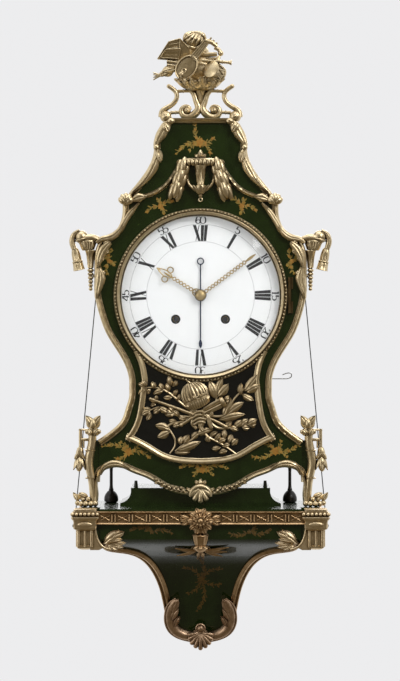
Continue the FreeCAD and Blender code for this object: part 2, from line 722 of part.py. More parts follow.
@node("console_plinth")
def console_plinth():
    back = -CONSOLE_BACK_T - SEAT_FIT
    foot = (PLINTH_FOOT_HALF, PLINTH_STEP)
    head = (PLINTH_TOP_HALF, PLINTH_H)
    waist = (PLINTH_TOP_HALF + PLINTH_COVE[0], PLINTH_STEP + PLINTH_COVE[1])
    runs = [[(0.0, PLINTH_H), head], [head, waist, foot], [foot, (0.0, PLINTH_STEP)]]
    block = slab(closed_face(runs + mirrored(runs)), PLINTH_FRONT_Y, back)
    step = box(-PLINTH_FOOT_HALF, PLINTH_FOOT_HALF, PLINTH_FRONT_Y - PLINTH_STEP, back, 0.0, PLINTH_STEP)
    posts = [Part.makeCone(POST_R, POST_R * 0.6, POST_H + 1.0,
                           Vector(x, PLINTH_FRONT_Y + POST_SETBACK, PLINTH_H - 1.0))
             for x in (-PLINTH_TOP_HALF + 2 * POST_R, PLINTH_TOP_HALF - 2 * POST_R)]
    return joined([block, step] + posts)


@node("console_front_band")
def console_front_band():
    front = box(-CORNER_X + SEAT_FIT, CORNER_X - SEAT_FIT, SHELF_FRONT_Y - BAND_T, SHELF_FRONT_Y,
                -SHELF_T, -BAND_LIP)
    side = box(SHELF_HALF, SHELF_HALF + BAND_T, corner_back_y() + SEAT_FIT, 0.0, -SHELF_T, -BAND_LIP)
    return Part.makeCompound([front, side, flip(side)])


@node("console_corners")
def console_corners():
    front = corner_front_y()
    back = corner_back_y()
    outer = CORNER_X + CORNER_W
    cap = box(CORNER_X, outer, front, back, -CORNER_CAP_H, 0.0)
    shaft_outer = outer - CORNER_STEP
    shaft_front = front + CORNER_STEP * 0.6
    shaft = box(CORNER_X, shaft_outer, shaft_front, back, -CORNER_DROP + CORNER_TOE, -CORNER_CAP_H)
    middle_x = (CORNER_X + shaft_outer) / 2
    half = (shaft_outer - CORNER_X) / 2
    toe = rod_y(middle_x, -CORNER_DROP + half, shaft_front, back, half)
    below = box(CORNER_X, shaft_outer, shaft_front, back, -CORNER_DROP, -CORNER_DROP + CORNER_TOE)
    shaft = joined([shaft, toe.common(below)])
    pitch = 2 * half / (FLUTE_COUNT + 1)
    for count in range(FLUTE_COUNT):
        x = CORNER_X + pitch * (count + 1)
        groove = Part.makeCylinder(FLUTE_R, CORNER_DROP - CORNER_CAP_H - 2 * CORNER_TOE,
                                   Vector(x, shaft_front - FLUTE_R * 0.3, -CORNER_DROP + CORNER_TOE))
        shaft = shaft.cut(groove)
    count = int(CORNER_W / (2.4 * CORNER_BEAD_R))
    beads = [ball(CORNER_X + CORNER_W * (index + 0.5) / count, front, -1.4 * CORNER_BEAD_R, CORNER_BEAD_R)
             for index in range(count)]
    return pair(joined([cap, shaft] + beads))


@node("console_rosette")
def console_rosette():
    face = SHELF_FRONT_Y - BAND_T
    z = -(SHELF_T + BAND_LIP) / 2 - 5.0
    petals = [leaf(0.0, z, bearing, 19.0, 10.0, face - 3.5, face) for bearing in range(0, 360, 45)]
    heart = rod_y(0.0, z, face - 5.0, face, 8.0)
    bud = ball(0.0, face - 5.0, z, 5.0)
    return joined([heart, bud] + petals)


@node("console_drop")
def console_drop():
    z_top = FRIEZE_Z + 8.0
    cup = Part.makeCone(5.5, 12.0, 19.0, Vector(0.0, FRIEZE_Y, z_top - 19.0))
    leaves = [leaf(0.0, z_top - 17.0, bearing, length, 11.0, FRIEZE_Y - 4.0, BODY_FOOT_Y)
              for bearing, length in ((200, 34), (222, 24), (246, 20), (294, 20), (318, 24), (340, 34))]
    spray = joined(leaves).common(console_block(-30.0, -4.0, 0.0))
    whole = spray.fuse(cup).cut(console_block(0.0, 0.0, 0.0))
    return whole.removeSplitter()


@node("console_edge_mouldings")
def console_edge_mouldings():
    runs = BODY_RUNS[2:]
    strip = slab(band_face(runs, 0.0, EDGE_W), SHELF_FRONT_Y * 1.2, 0.0)
    keep = box(0.0, CORNER_X, SHELF_FRONT_Y * 1.2, 0.0, EDGE_END_Z, FRIEZE_Z - EDGE_HEAD_DROP)
    layer = console_profile(-EDGE_T, 0.0).cut(console_profile(0.0, 0.0))
    return pair(strip.common(keep).common(layer))


@node("console_base_mount")
def console_base_mount():
    inner = [(0.0, BASE_BOTTOM_Z + 41.0), (15.0, BASE_BOTTOM_Z + 42.0), (28.0, BASE_BOTTOM_Z + 50.0),
             (34.0, BASE_HORN_Z - 18.0), (31.0, BASE_HORN_Z)]
    outer = [(31.0, BASE_HORN_Z), (45.0, BASE_HORN_Z - 9.0), (BASE_HALF, BASE_HORN_Z - 26.0),
             (BASE_HALF - 2.0, BASE_HORN_Z - 40.0), (BASE_HALF - 11.0, BASE_HORN_Z - 54.0),
             (25.0, BASE_BOTTOM_Z + 26.0), (13.5, BASE_BOTTOM_Z + 16.0), (0.0, BASE_BOTTOM_Z)]
    right = [inner, outer]
    cradle = slab(closed_face(right + mirrored(right)), SHELF_FRONT_Y, BODY_FOOT_Y)
    runs = shifted(PROFILE_RUNS, BASE_T)
    foot = runs[-1][-1]
    closing = [[foot, (foot[0], BASE_BOTTOM_Z)], [(foot[0], BASE_BOTTOM_Z), (0.0, BASE_BOTTOM_Z)],
               [(0.0, BASE_BOTTOM_Z), (0.0, -SHELF_T)], [(0.0, -SHELF_T), runs[0][0]]]
    reach = closed_face(runs + closing, side_plane).translated(Vector(-SHELF_HALF, 0, 0))
    cradle = cradle.common(reach.extrude(Vector(2 * SHELF_HALF, 0, 0)))
    solid_body = console_block(0.0, 0.0, -SHELF_T)
    return cradle.cut(solid_body).cut(console_edge_mouldings())


# Case

@node("case_back_board")
def case_back_board():
    board = slab(case_face(CARCASS_INSET, FLOOR_Z), INSIDE_BACK_Y, BACK_Y)
    return board.cut(rod_y(0.0, HANGING_Z, INSIDE_BACK_Y, BACK_Y, HANGING_R))


def wire_hole(radius):
    return Part.makeCylinder(radius, 2 * CARCASS_T + 30.0, Vector(WAIST_HALF - 30.0, WIRE_Y, WIRE_Z),
                             Vector(1, 0, 0))


@node("case_carcass")
def case_carcass():
    outside = slab(case_face(CARCASS_INSET, FLOOR_Z), BEHIND_FRONT_Y, INSIDE_BACK_Y)
    inside = slab(case_face(CARCASS_INSET + CARCASS_T, FLOOR_Z - 1.0), BEHIND_FRONT_Y, INSIDE_BACK_Y)
    return outside.cut(inside).cut(wire_hole(WIRE_R + EYE_GAP))


@node("case_floor")
def case_floor():
    half = HIP_HALF - CARCASS_INSET - CARCASS_T - SEAT_FIT
    return box(-half, half, BEHIND_FRONT_Y, INSIDE_BACK_Y, FLOOR_Z, FLOOR_Z + FLOOR_T)


def door_runs():
    """Outer edge of the door below the bezel, right half from the top down."""
    neck = (DOOR_NECK_HALF, DOOR_NECK_Z)
    foot = (DOOR_FOOT_HALF, DOOR_FOOT_Z)
    top = (DOOR_TOP_HALF, DOOR_TOP_Z)
    side = between(top, neck, ((0.58, 0.77),))[:-1] + between(neck, foot, ((0.43, 0.19), (0.73, 0.44)))
    bottom = between(foot, (0.0, DOOR_MID_Z), ((0.40, 0.274), (0.77, 0.49), (0.97, 0.80)))
    return [side, bottom]


def door_face(inset):
    runs = shifted(door_runs(), inset)
    head = runs[0][0]
    runs = [[(0.0, head[1]), head]] + runs
    runs[-1] = runs[-1][:-1] + [(0.0, runs[-1][-1][1])]
    return closed_face(runs + mirrored(runs))


@node("case_front")
def case_front():
    runs = shifted([TOP_RUN] + SIDE_RUNS, CARCASS_INSET)
    foot = runs[-1][-1]
    side = [[foot, (foot[0], LEG_Z)], [(foot[0], LEG_Z), APRON_FOOT]]
    right = runs + side + apron_runs()
    board = slab(closed_face(right + mirrored(right)), FRONT_Y, BEHIND_FRONT_Y)
    board = board.cut(rod_y(0.0, DIAL_Z, FRONT_Y, BEHIND_FRONT_Y, DIAL_OPENING_R))
    window = slab(door_face(WINDOW_MARGIN), FRONT_Y, BEHIND_FRONT_Y)
    bridge = rod_y(0.0, DIAL_Z, FRONT_Y, BEHIND_FRONT_Y, DIAL_OPENING_R + WINDOW_MARGIN)
    return board.cut(window.cut(bridge))


@node("movement_seat_board")
def movement_seat_board():
    room = slab(case_face(CARCASS_INSET + CARCASS_T + SEAT_FIT, FLOOR_Z), DIAL_BACK_Y + SEAT_FIT,
                BEHIND_PLATE_Y + SEAT_OVERHANG)
    level = box(-BELLY_HALF, BELLY_HALF, FRONT_Y, 0.0, SEAT_TOP_Z - SEAT_BOARD_T, SEAT_TOP_Z)
    return room.common(level)


def one_contour_moulding():
    return slab(band_face(SIDE_RUNS, 0.0, MOULDING_W), RELIEF_Y, FRONT_Y)


@node("contour_mouldings")
def contour_mouldings():
    return pair(one_contour_moulding())


@node("hood_moulding")
def hood_moulding():
    half = HOOD_TOP_HALF + 1.0
    bar = box(-half, half, RELIEF_Y - 1.0, FRONT_Y, HOOD_TOP_Z - 8.0, HOOD_TOP_Z + 4.0)
    bar = bar.fuse(box(-half, half, FRONT_Y, FRONT_Y + 14.0, HOOD_TOP_Z - CARCASS_INSET, HOOD_TOP_Z + 4.0))
    leaves = []
    for side in (-1, 1):
        x = side * (HOOD_TOP_HALF - 12.0)
        leaves.append(leaf(x, HOOD_TOP_Z + 5.0, 270 + side * 38, 40.0, 16.0, RELIEF_Y - 4.0, RELIEF_Y - 1.0))
    bar = joined([bar] + leaves)
    return bar.cut(contour_mouldings())


@node("apron_moulding")
def apron_moulding():
    right = apron_runs()
    one = shifted(right, 0.0)
    two = shifted(right, APRON_W)
    two[-1][-1] = (0.0, two[-1][-1][1])
    cap = [[two[0][0], one[0][0]]]
    left_one = mirrored(one)
    left_two = mirrored(two)
    runs = one + left_one + [[left_one[-1][-1], left_two[-1][-1]]] + back_along(left_two)
    strip = slab(closed_face(runs + back_along(two) + cap), RELIEF_Y, FRONT_Y)
    half = HIP_HALF - CARCASS_INSET
    return strip.common(box(-half, half, RELIEF_Y, FRONT_Y, 0.0, HIP_Z))


@node("apron_shell")
def apron_shell():
    z = APRON_MID_Z + APRON_W - 1.0
    lobes = [leaf(0.0, z, bearing, 23.0 - 0.06 * abs(bearing - 270), 9.0, RELIEF_Y - 4.0, RELIEF_Y)
             for bearing in range(200, 341, 28)]
    hub = ball(0.0, RELIEF_Y - 1.0, z, 5.0).cut(box(-9.0, 9.0, RELIEF_Y, 0.0, z - 9.0, z + 9.0))
    return joined(lobes + [hub])


# Gilt mounts of the hood and the shoulders

CREST_FOOT = (HOOD_FOOT_HALF - 1.0, HOOD_FOOT_Z - 11.0)
CREST_HEAD = (26.5, CREST_FOOT[1] + 60.0)
CREST_SHARES = ((0.09, 0.46), (0.30, 0.74), (0.68, 0.89))
CREST_W = 9.0
CREST_URN_DROP = 62.0   # foot of the urn below the arms
CREST_URN_H = 76.0
CREST_URN_R = 16.0
CREST_URN_PROUD = 2.0
CREST_STRAP_T = 5.0
CREST_STRAP_W = 4.0


@node("crest_moulding")
def crest_moulding():
    runs = [between(CREST_FOOT, CREST_HEAD, CREST_SHARES)]
    arm = slab(band_face(runs, 0.0, CREST_W), RELIEF_Y, FRONT_Y)
    husks = []
    for count in range(6):
        share = count / 5.0
        x = CREST_HEAD[0] + 4.0 + 8.0 * math.sin(share * 2.2)
        z = CREST_HEAD[1] - 2.0 - 52.0 * share
        husks.append(leaf(x, z + 7.0, 270.0, 17.0, 12.0, RELIEF_Y - 2.0 - 0.2 * count, FRONT_Y))
    arm = joined([arm] + husks)
    return pair(arm.cut(one_contour_moulding()))


@node("crest_urn")
def crest_urn():
    foot = CREST_HEAD[1] - CREST_URN_DROP
    shares = ((0.0, 0.0), (0.16, 0.0), (0.16, 0.13), (0.6, 0.17), (0.56, 0.25), (0.31, 0.29), (0.56, 0.66),
              (1.0, 0.71), (1.0, 0.80), (0.38, 0.83), (0.34, 0.95), (0.0, 1.0))
    profile = [(CREST_URN_R * out, foot + CREST_URN_H * up) for out, up in shares]
    urn = turned(profile, 0.0, FRONT_Y - CREST_URN_PROUD)
    strap_z = foot + 0.73 * CREST_URN_H
    straps = []
    for side in (-1, 1):
        end = side * CREST_HEAD[0]
        straps.append(box(min(0.0, end), max(0.0, end), FRONT_Y - CREST_STRAP_T, FRONT_Y,
                          strap_z, strap_z + CREST_STRAP_W))
    half_urn = joined([urn] + straps).cut(box(-EAR_HALF, EAR_HALF, FRONT_Y, 0.0, 0.0, HOOD_TOP_Z))
    return half_urn.cut(crest_moulding())


@node("shoulder_mounts")
def shoulder_mounts():
    x = (HOOD_FOOT_HALF + SHOULDER_HALF) / 2 - 0.5
    z = (HOOD_FOOT_Z + SHOULDER_Z) / 2 - 1.5
    petals = [leaf(x, z, bearing, 11.0, 7.0, RELIEF_Y - 3.0, RELIEF_Y) for bearing in range(0, 360, 60)]
    rosette = joined([rod_y(x, z, RELIEF_Y - 5.0, RELIEF_Y, 5.0)] + petals)
    ear_x = EAR_HALF - 16.0
    fronds = [leaf(ear_x, EAR_Z + 6.0, bearing, length, 14.0, RELIEF_Y - 4.0, RELIEF_Y)
              for bearing, length in ((318, 22), (290, 40), (345, 16))]
    return pair(Part.makeCompound(rosette.Solids + joined(fronds).Solids))


@node("side_urns")
def side_urns():
    x = BELLY_HALF + URN_REACH
    y = FRONT_Y + 2.0
    high = URN_TOP_Z
    low = URN_TIP_Z
    profile = ((0.0, low), (3.0, low + 3.0), (5.2, low + 36.0), (7.0, low + 40.0), (7.5, low + 56.0),
               (5.0, low + 58.0), (URN_BOWL_R, high - 25.0), (URN_BOWL_R, high - 18.0),
               (6.0, high - 15.0), (7.5, high - 8.0), (4.0, high - 1.0), (0.0, high))
    urn = turned(profile, x, y)
    arm = box(EAR_HALF - 4.0, x, FRONT_Y - 3.0, FRONT_Y + 5.0, high - 25.0, high - 18.0)
    husks = [leaf(x + 15.0 + 5.0 * math.sin(count * 0.8), high - 24.0 - 7.0 * count, 270.0, 15.0, 9.0,
                  y - 4.0 - 0.2 * count, y + 4.0) for count in range(5)]
    link = rod(Vector(x, y, high - 22.0), Vector(x + 18.0, y, high - 29.0), 3.0)
    whole = joined([urn, arm, link] + husks)
    whole = whole.cut(one_contour_moulding()).cut(case_front()).cut(case_carcass())
    outside = [solid for solid in whole.Solids if solid.BoundBox.ZLength > high - low - 9.0]
    return pair(Part.makeCompound(outside))


# Finial

def finial_side(side, foot):
    """Scrolls on one side of the finial, standing on the hood."""
    reach = HOOD_TOP_HALF
    drop = CALYX_Z - foot
    ball_z = foot + SCROLL_BALL_R
    outer_x = reach - 2.0
    inner_x = 23.0

    def at(x, z):
        return Vector(side * x, FINIAL_Y, z)
    outer = tube([at(reach - 7.0, CALYX_Z + 5.0), at(reach - 19.0, CALYX_Z - 2.0),
                  at(reach - 21.0, CALYX_Z - 0.25 * drop), at(reach - 11.0, CALYX_Z - 0.44 * drop),
                  at(reach, CALYX_Z - 0.65 * drop)], SCROLL_R)
    inner = tube([at(13.0, CALYX_Z + 3.0), at(5.0, CALYX_Z - 0.25 * drop), at(5.0, CALYX_Z - 0.47 * drop),
                  at(19.0, CALYX_Z - 0.69 * drop)], SCROLL_R)
    balls = [ball(side * x, FINIAL_Y, ball_z, SCROLL_BALL_R) for x in (inner_x, outer_x)]
    low_bar = rod(at(inner_x, ball_z), at(outer_x, ball_z), 0.75 * SCROLL_R)
    high_bar = rod(at(9.0, CALYX_Z), at(reach - 12.0, CALYX_Z + 2.0), 0.65 * SCROLL_R)
    return [outer, inner, low_bar, high_bar] + balls


@node("finial_scrolls")
def finial_scrolls():
    foot = HOOD_TOP_Z - CARCASS_INSET
    core_z = CALYX_Z - 0.36 * (CALYX_Z - foot)
    core = rod(Vector(-8.0, FINIAL_Y, core_z), Vector(8.0, FINIAL_Y, core_z), SCROLL_R)
    return joined([core] + finial_side(-1, foot) + finial_side(1, foot))


@node("finial_trophy")
def finial_trophy():
    y = FINIAL_Y
    base = CALYX_Z - 1.0
    calyx = Part.makeCone(20.0, 30.0, 17.0, Vector(0.0, y, base))
    lute = Part.Ellipse(Vector(0, 0, 0), 19.0, 15.0).toShape()
    lute = Part.Face(Part.Wire(lute)).extrude(Vector(0, 0, 14.0))
    lute.rotate(Vector(0, 0, 0), Vector(1, 0, 0), 90)
    lute.rotate(Vector(0, 0, 0), Vector(0, 1, 0), -50)
    lute.translate(Vector(-20.0, y - 2.0, base + 31.0))
    neck = rod(Vector(-20.0, y - 9.0, base + 31.0), Vector(22.0, y - 9.0, base + 75.0), 3.0)
    book = slab(closed_face(chain((-64.0, base + 44.0), (-48.0, base + 71.0), (-28.0, base + 75.0),
                                  (-14.0, base + 50.0), (-35.0, base + 43.0))), y - 3.0, y + 7.0)
    rose = ball(-9.0, y, FINIAL_TOP_Z - 14.0, 14.0)
    stem = rod(Vector(-9.0, y, base + 10.0), Vector(-9.0, y, FINIAL_TOP_Z - 20.0), 7.0)
    drum = rod(Vector(14.0, y - 13.0, base + 28.0), Vector(22.0, y + 14.0, base + 28.0), 16.0)
    flute = rod(Vector(6.0, y - 7.0, base + 24.0), Vector(45.0, y - 7.0, base + 38.0), 3.0)
    horn = Part.makeCone(3.0, 8.0, 34.0, Vector(2.0, y + 2.0, base + 38.0), Vector(1.0, 0.0, 0.75))
    quiver = rod(Vector(-12.0, y + 3.0, base + 14.0), Vector(-66.0, y + 3.0, base + 24.0), 6.5)
    whole = joined([calyx, lute, neck, book, stem, rose, drum, flute, horn, quiver])
    return whole.cut(finial_scrolls())


# Feet

@node("front_feet")
def front_feet():
    back = FOOT_FRONT_Y + FOOT_DEPTH
    left = FOOT_X - FOOT_HALF
    right = FOOT_X + FOOT_HALF
    inner = [(left, FOOT_TOP_Z), (left, 0.65 * FOOT_TOP_Z), (left + 5.0, 0.45 * FOOT_TOP_Z),
             (left + 1.0, 0.24 * FOOT_TOP_Z), (left + 3.0, 0.0)]
    outer = [(FOOT_OUTER_X - 8.0, 0.0), (FOOT_OUTER_X, 9.0), (FOOT_OUTER_X - 9.0, 18.0), (right - 2.0, 16.0),
             (right - 3.0, 0.34 * FOOT_TOP_Z), (right + 2.0, 0.52 * FOOT_TOP_Z),
             (right + 1.0, 0.73 * FOOT_TOP_Z), (right, FOOT_TOP_Z)]
    runs = [inner, [inner[-1], outer[0]], outer, [outer[-1], inner[0]]]
    leg = slab(closed_face(runs), FOOT_FRONT_Y, back)
    calyx = Part.makeCone(FOOT_HALF, FOOT_HALF + 2.5, 14.0, Vector(FOOT_X, FOOT_FRONT_Y + 10.0, FOOT_TOP_Z))
    tulip = [leaf(FOOT_X, FOOT_TOP_Z + 8.0, bearing, TULIP_TOP_Z - FOOT_TOP_Z - 8.0, 11.0,
                  FOOT_FRONT_Y + 4.0, FOOT_FRONT_Y + 16.0) for bearing in (68, 90, 112)]
    foot = joined([leg, calyx] + tulip)
    foot = foot.cut(one_contour_moulding()).cut(apron_moulding()).cut(case_front()).cut(case_carcass())
    foot = foot.cut(case_back_block())
    solids = sorted(foot.Solids, key=lambda solid: solid.Volume)
    return pair(Part.makeCompound(solids[-1:]))


def case_back_block():
    """Room taken by the wooden case, so that the feet stay outside it."""
    half = HIP_HALF - CARCASS_INSET
    return box(-half, half, FRONT_Y, BACK_Y, LEG_Z, HIP_Z)


@node("foot_brackets")
def foot_brackets():
    x = FOOT_X + FOOT_HALF
    y = FOOT_FRONT_Y + FOOT_DEPTH / 2
    high = FOOT_TOP_Z + 9.0
    low = FOOT_TOP_Z - 17.0
    bar_r = 2.4

    def at(px, pz):
        return Vector(px, y, pz)
    upper = rod(at(x - 4.0, high - 12.0), at(x + 13.0, high - 12.0), bar_r)
    post = rod(at(x + 11.0, low), at(x + 11.0, high), bar_r)
    lower = rod(at(x - 4.0, low + 3.0), at(x + 13.0, low + 3.0), bar_r)
    top = rod(at(x + 2.0, high), at(x + 11.0, high), bar_r)
    corner = ball(x + 11.0, y, high, bar_r)
    drops = [leaf(x + 14.0 - 0.6 * count, low + 2.0 - 8.0 * count, 270.0, 15.0, 13.0 - count,
                  y - 4.0 - 0.2 * count, y + 4.0) for count in range(4)]
    whole = joined([upper, post, lower, top, corner] + drops).cut(front_feet())
    solids = [solid for solid in whole.Solids if solid.BoundBox.XMax > x + 10.0]
    return pair(Part.makeCompound(solids))


@node("rear_feet")
def rear_feet():
    profile = ((0.0, 0.0), (7.0, 0.0), (REAR_FOOT_R, 6.0), (REAR_FOOT_R, 13.0), (6.5, 20.0), (4.0, 23.0),
               (3.6, 0.6 * FLOOR_Z), (5.5, FLOOR_Z - 6.0), (5.5, FLOOR_Z), (0.0, FLOOR_Z))
    return pair(turned(profile, REAR_FOOT_X, REAR_FOOT_Y))


# Door

@node("door_bezel")
def door_bezel():
    wide = SIGHT_R + BEZEL_LIP
    points = ((wide, DOOR_BACK_Y), (BEZEL_R, DOOR_BACK_Y), (BEZEL_R, BEZEL_FRONT_Y + 5.0),
              (BEZEL_R - 2.5, BEZEL_FRONT_Y + 0.8), (BEZEL_R - 4.5, BEZEL_FRONT_Y + 0.8),
              (BEZEL_R - 6.5, BEZEL_FRONT_Y + 3.0), (BEZEL_R - 8.0, BEZEL_FRONT_Y + 1.6),
              (SIGHT_R + 0.6, BEZEL_FRONT_Y), (SIGHT_R, BEZEL_FRONT_Y + 1.2), (SIGHT_R, GLASS_SEAT_Y),
              (wide, GLASS_SEAT_Y))
    return turned_on_dial(chain(*points))


@node("door_glass")
def door_glass():
    seat = GLASS_SEAT_Y
    rim = SIGHT_R + BEZEL_LIP - RUNNING_FIT
    start = SIGHT_R - 1.0
    crown = seat - GLASS_RISE
    share = 0.5
    lift = 1 - share ** 2

    def dome(radius, y_rim, y_top):
        middle = (radius * share, y_rim + (y_top - y_rim) * lift)
        return [(radius, y_rim), middle, (0.0, y_top)]
    outside = dome(start, seat, crown)
    inside = dome(start - GLASS_T, seat + GLASS_T, crown + GLASS_T)
    runs = [outside, [outside[-1], inside[-1]], list(reversed(inside)),
            [inside[0], (rim, seat + GLASS_T)], [(rim, seat + GLASS_T), (rim, seat)],
            [(rim, seat), outside[0]]]
    return turned_on_dial(runs)


def bezel_room(gap):
    return rod_y(0.0, DIAL_Z, FRONT_Y - 60.0, FRONT_Y + 20.0, BEZEL_R + gap)


@node("door_panel")
def door_panel():
    return slab(door_face(0.0), PANEL_FRONT_Y, DOOR_BACK_Y).cut(bezel_room(RUNNING_FIT))


@node("door_strips")
def door_strips():
    ring = slab(door_face(0.0).cut(door_face(STRIP_W)), PANEL_FRONT_Y - STRIP_T, PANEL_FRONT_Y)
    return ring.cut(bezel_room(RUNNING_FIT))


# Laurel stalks of the door trophy: start and end points, from its heart
TROPHY_STALKS = (
    ((-8.0, 0.0), (62.0, 28.0)), ((-8.0, 0.0), (-80.0, 30.0)), ((-8.0, -4.0), (72.0, -18.0)),
    ((-8.0, -4.0), (-82.0, -16.0)), ((-4.0, -4.0), (34.0, -50.0)), ((-10.0, -4.0), (-44.0, -50.0)),
    ((-2.0, 0.0), (26.0, 42.0)), ((-12.0, 0.0), (-44.0, 38.0)),
)
LEAF_PLACES = (0.42, 0.6, 0.78, 0.94)
LEAF_LENGTH = 24.0
LEAF_W = 8.5
LEAF_SPLAY = 32.0


def laurel(start, end, y, lift):
    """Flat stalk with leaves on alternate sides and one at its tip."""
    way = bearing_between(start, end)
    solids = [rod_flat(start[0], start[1], end[0], end[1], 3.6, y - 2.0 - lift, y)]
    for count, share in enumerate(LEAF_PLACES):
        x = start[0] + share * (end[0] - start[0])
        z = start[1] + share * (end[1] - start[1])
        splay = LEAF_SPLAY if count % 2 else -LEAF_SPLAY
        solids.append(leaf(x, z, way + splay, LEAF_LENGTH, LEAF_W, y - 3.0 - lift - 0.1 * count, y))
    solids.append(leaf(end[0] - 2.0 * math.cos(math.radians(way)), end[1] - 2.0 * math.sin(math.radians(way)),
                       way, LEAF_LENGTH, LEAF_W, y - 3.5 - lift, y))
    return solids


@node("door_trophy")
def door_trophy():
    y = PANEL_FRONT_Y
    dome_x = -8.0
    dome_z = TROPHY_Z + 15.0
    dome = ball(dome_x, y, dome_z, 20.0).common(box(-60.0, 60.0, y - 8.0, y, dome_z - 12.0, dome_z + 40.0))
    skirt = slab(closed_face(chain((dome_x - 20.0, dome_z - 24.0), (dome_x + 20.0, dome_z - 24.0),
                                   (dome_x + 16.0, dome_z - 8.0), (dome_x - 16.0, dome_z - 8.0))), y - 6.0, y)
    quiver = rod_flat(0.0, TROPHY_Z - 8.0, 40.0, TROPHY_Z + 11.0, 16.0, y - 7.0, y)
    staff = rod_flat(-66.0, TROPHY_Z + 7.0, 0.0, TROPHY_Z - 10.0, 4.0, y - 3.5, y)
    solids = [dome, skirt, quiver, staff]
    for count, ((start_x, start_rise), (end_x, end_rise)) in enumerate(TROPHY_STALKS):
        start = (start_x, TROPHY_Z + start_rise)
        solids.extend(laurel(start, (end_x, TROPHY_Z + end_rise), y, 0.05 * count))
    room = slab(door_face(STRIP_W + SEAT_FIT), y - 20.0, y).cut(bezel_room(SEAT_FIT))
    return joined(solids).common(room)


def rod_flat(x0, z0, x1, z1, width, y_front, y_back):
    """Straight flat bar on the panel, between two points."""
    ux, uz = unit((x0, z0), (x1, z1))
    h = width / 2
    corners = chain((x0 - uz * h, z0 + ux * h), (x1 - uz * h, z1 + ux * h),
                    (x1 + uz * h, z1 - ux * h), (x0 + uz * h, z0 - ux * h))
    return slab(closed_face(corners), y_front, y_back)


def knuckle(z0, z1, bore):
    barrel = Part.makeCylinder(HINGE_R, z1 - z0, Vector(HINGE_X, HINGE_Y, z0))
    return barrel.cut(Part.makeCylinder(bore, z1 - z0, Vector(HINGE_X, HINGE_Y, z0))) if bore else barrel


@node("door_hinge")
def door_hinge():
    third = HINGE_LENGTH / 6
    z0 = DIAL_Z - third
    z1 = DIAL_Z + third
    web = box(BEZEL_R - 6.0, HINGE_X, HINGE_Y - 1.2, HINGE_Y + 1.2, z0, z1).cut(bezel_room(RUNNING_FIT))
    web = web.cut(Part.makeCylinder(HINGE_R - 0.5, HINGE_LENGTH, Vector(HINGE_X, HINGE_Y, z0 - 1.0)))
    return joined([knuckle(z0, z1, HINGE_PIN_R + RUNNING_FIT), web])


@node("case_hinge")
def case_hinge():
    third = HINGE_LENGTH / 6
    half = HINGE_LENGTH / 2
    solids = [Part.makeCylinder(HINGE_PIN_R, HINGE_LENGTH, Vector(HINGE_X, HINGE_Y, DIAL_Z - half))]
    for z0, z1 in ((DIAL_Z - half, DIAL_Z - third - SWING_GAP), (DIAL_Z + third + SWING_GAP, DIAL_Z + half)):
        solids.append(knuckle(z0, z1, 0.0))
        solids.append(box(HINGE_X, HINGE_X + HINGE_R + 2.5, HINGE_Y, FRONT_Y, z0, z1))
    return joined(solids)


# Dial and hands

@node("dial")
def dial():
    disc = rod_y(0.0, DIAL_Z, DIAL_FRONT_Y, DIAL_BACK_Y, DIAL_R)
    disc = disc.cut(rod_y(0.0, DIAL_Z, DIAL_FRONT_Y, DIAL_BACK_Y, ALARM_PIPE_R + DIAL_HOLE_GAP))
    for x in (-WINDING_X, WINDING_X):
        disc = disc.cut(rod_y(x, WINDING_Z, DIAL_FRONT_Y, DIAL_BACK_Y, WINDING_HOLE_R))
    feet = [rod_y(x, DIAL_Z + rise, DIAL_BACK_Y, FRONT_PLATE_Y, DIAL_FOOT_R)
            for x, rise in ((-DIAL_FOOT, DIAL_FOOT), (DIAL_FOOT, DIAL_FOOT), (0.0, -DIAL_FOOT))]
    return joined([disc] + feet)


def on_axis(shape, angle):
    shape.rotate(Vector(0, 0, DIAL_Z), Vector(0, 1, 0), angle)
    return shape


def flat_ring(x, z, radius, width, y_front, y_back):
    return rod_y(x, z, y_front, y_back, radius).cut(rod_y(x, z, y_front, y_back, radius - width))


@node("minute_hand")
def minute_hand():
    front = MINUTE_HAND_Y - HAND_T
    hub = flat_ring(0.0, DIAL_Z, 7.0, 7.0 - CANNON_R, front, MINUTE_HAND_Y)
    links = []
    for count in range(4):
        z = DIAL_Z + 13.0 + 16.0 * count
        links.append(flat_ring(0.0, z, 6.5 - 0.7 * count, 2.2, front, MINUTE_HAND_Y))
        links.append(box(-1.3, 1.3, front, MINUTE_HAND_Y, z + 4.5 - 0.7 * count, z + 13.0))
    spear = leaf(0.0, DIAL_Z + 70.0, 90.0, MINUTE_LENGTH - 70.0, 5.0, front, MINUTE_HAND_Y)
    hand = on_axis(joined([hub, spear] + links), MINUTE_ANGLE)
    return Part.makeCompound(hand.Solids + hand_boss().Solids)


def hand_boss():
    """Domed nut that holds the minute hand on its pipe."""
    boss = ball(0.0, MINUTE_HAND_Y, DIAL_Z, BOSS_R)
    front = MINUTE_HAND_Y - HAND_T
    return boss.common(box(-BOSS_R, BOSS_R, front - BOSS_H, front, DIAL_Z - BOSS_R, DIAL_Z + BOSS_R))


@node("hour_hand")
def hour_hand():
    front = HOUR_HAND_Y - HAND_T
    hub = flat_ring(0.0, DIAL_Z, 9.0, 9.0 - HOUR_PIPE_R, front, HOUR_HAND_Y)
    solids = [hub]
    for count in range(2):
        z = DIAL_Z + 15.5 + 14.0 * count
        solids.append(flat_ring(0.0, z, 7.5, 2.4, front, HOUR_HAND_Y))
    solids.append(box(-1.6, 1.6, front, HOUR_HAND_Y, DIAL_Z + 35.5, DIAL_Z + 60.0))
    for side in (-1, 1):
        solids.append(flat_ring(side * 7.5, DIAL_Z + 52.0, 7.0, 2.4, front, HOUR_HAND_Y))
    solids.append(leaf(0.0, DIAL_Z + 54.0, 90.0, HOUR_LENGTH - 54.0, 8.0, front, HOUR_HAND_Y))
    return on_axis(joined(solids), HOUR_ANGLE)


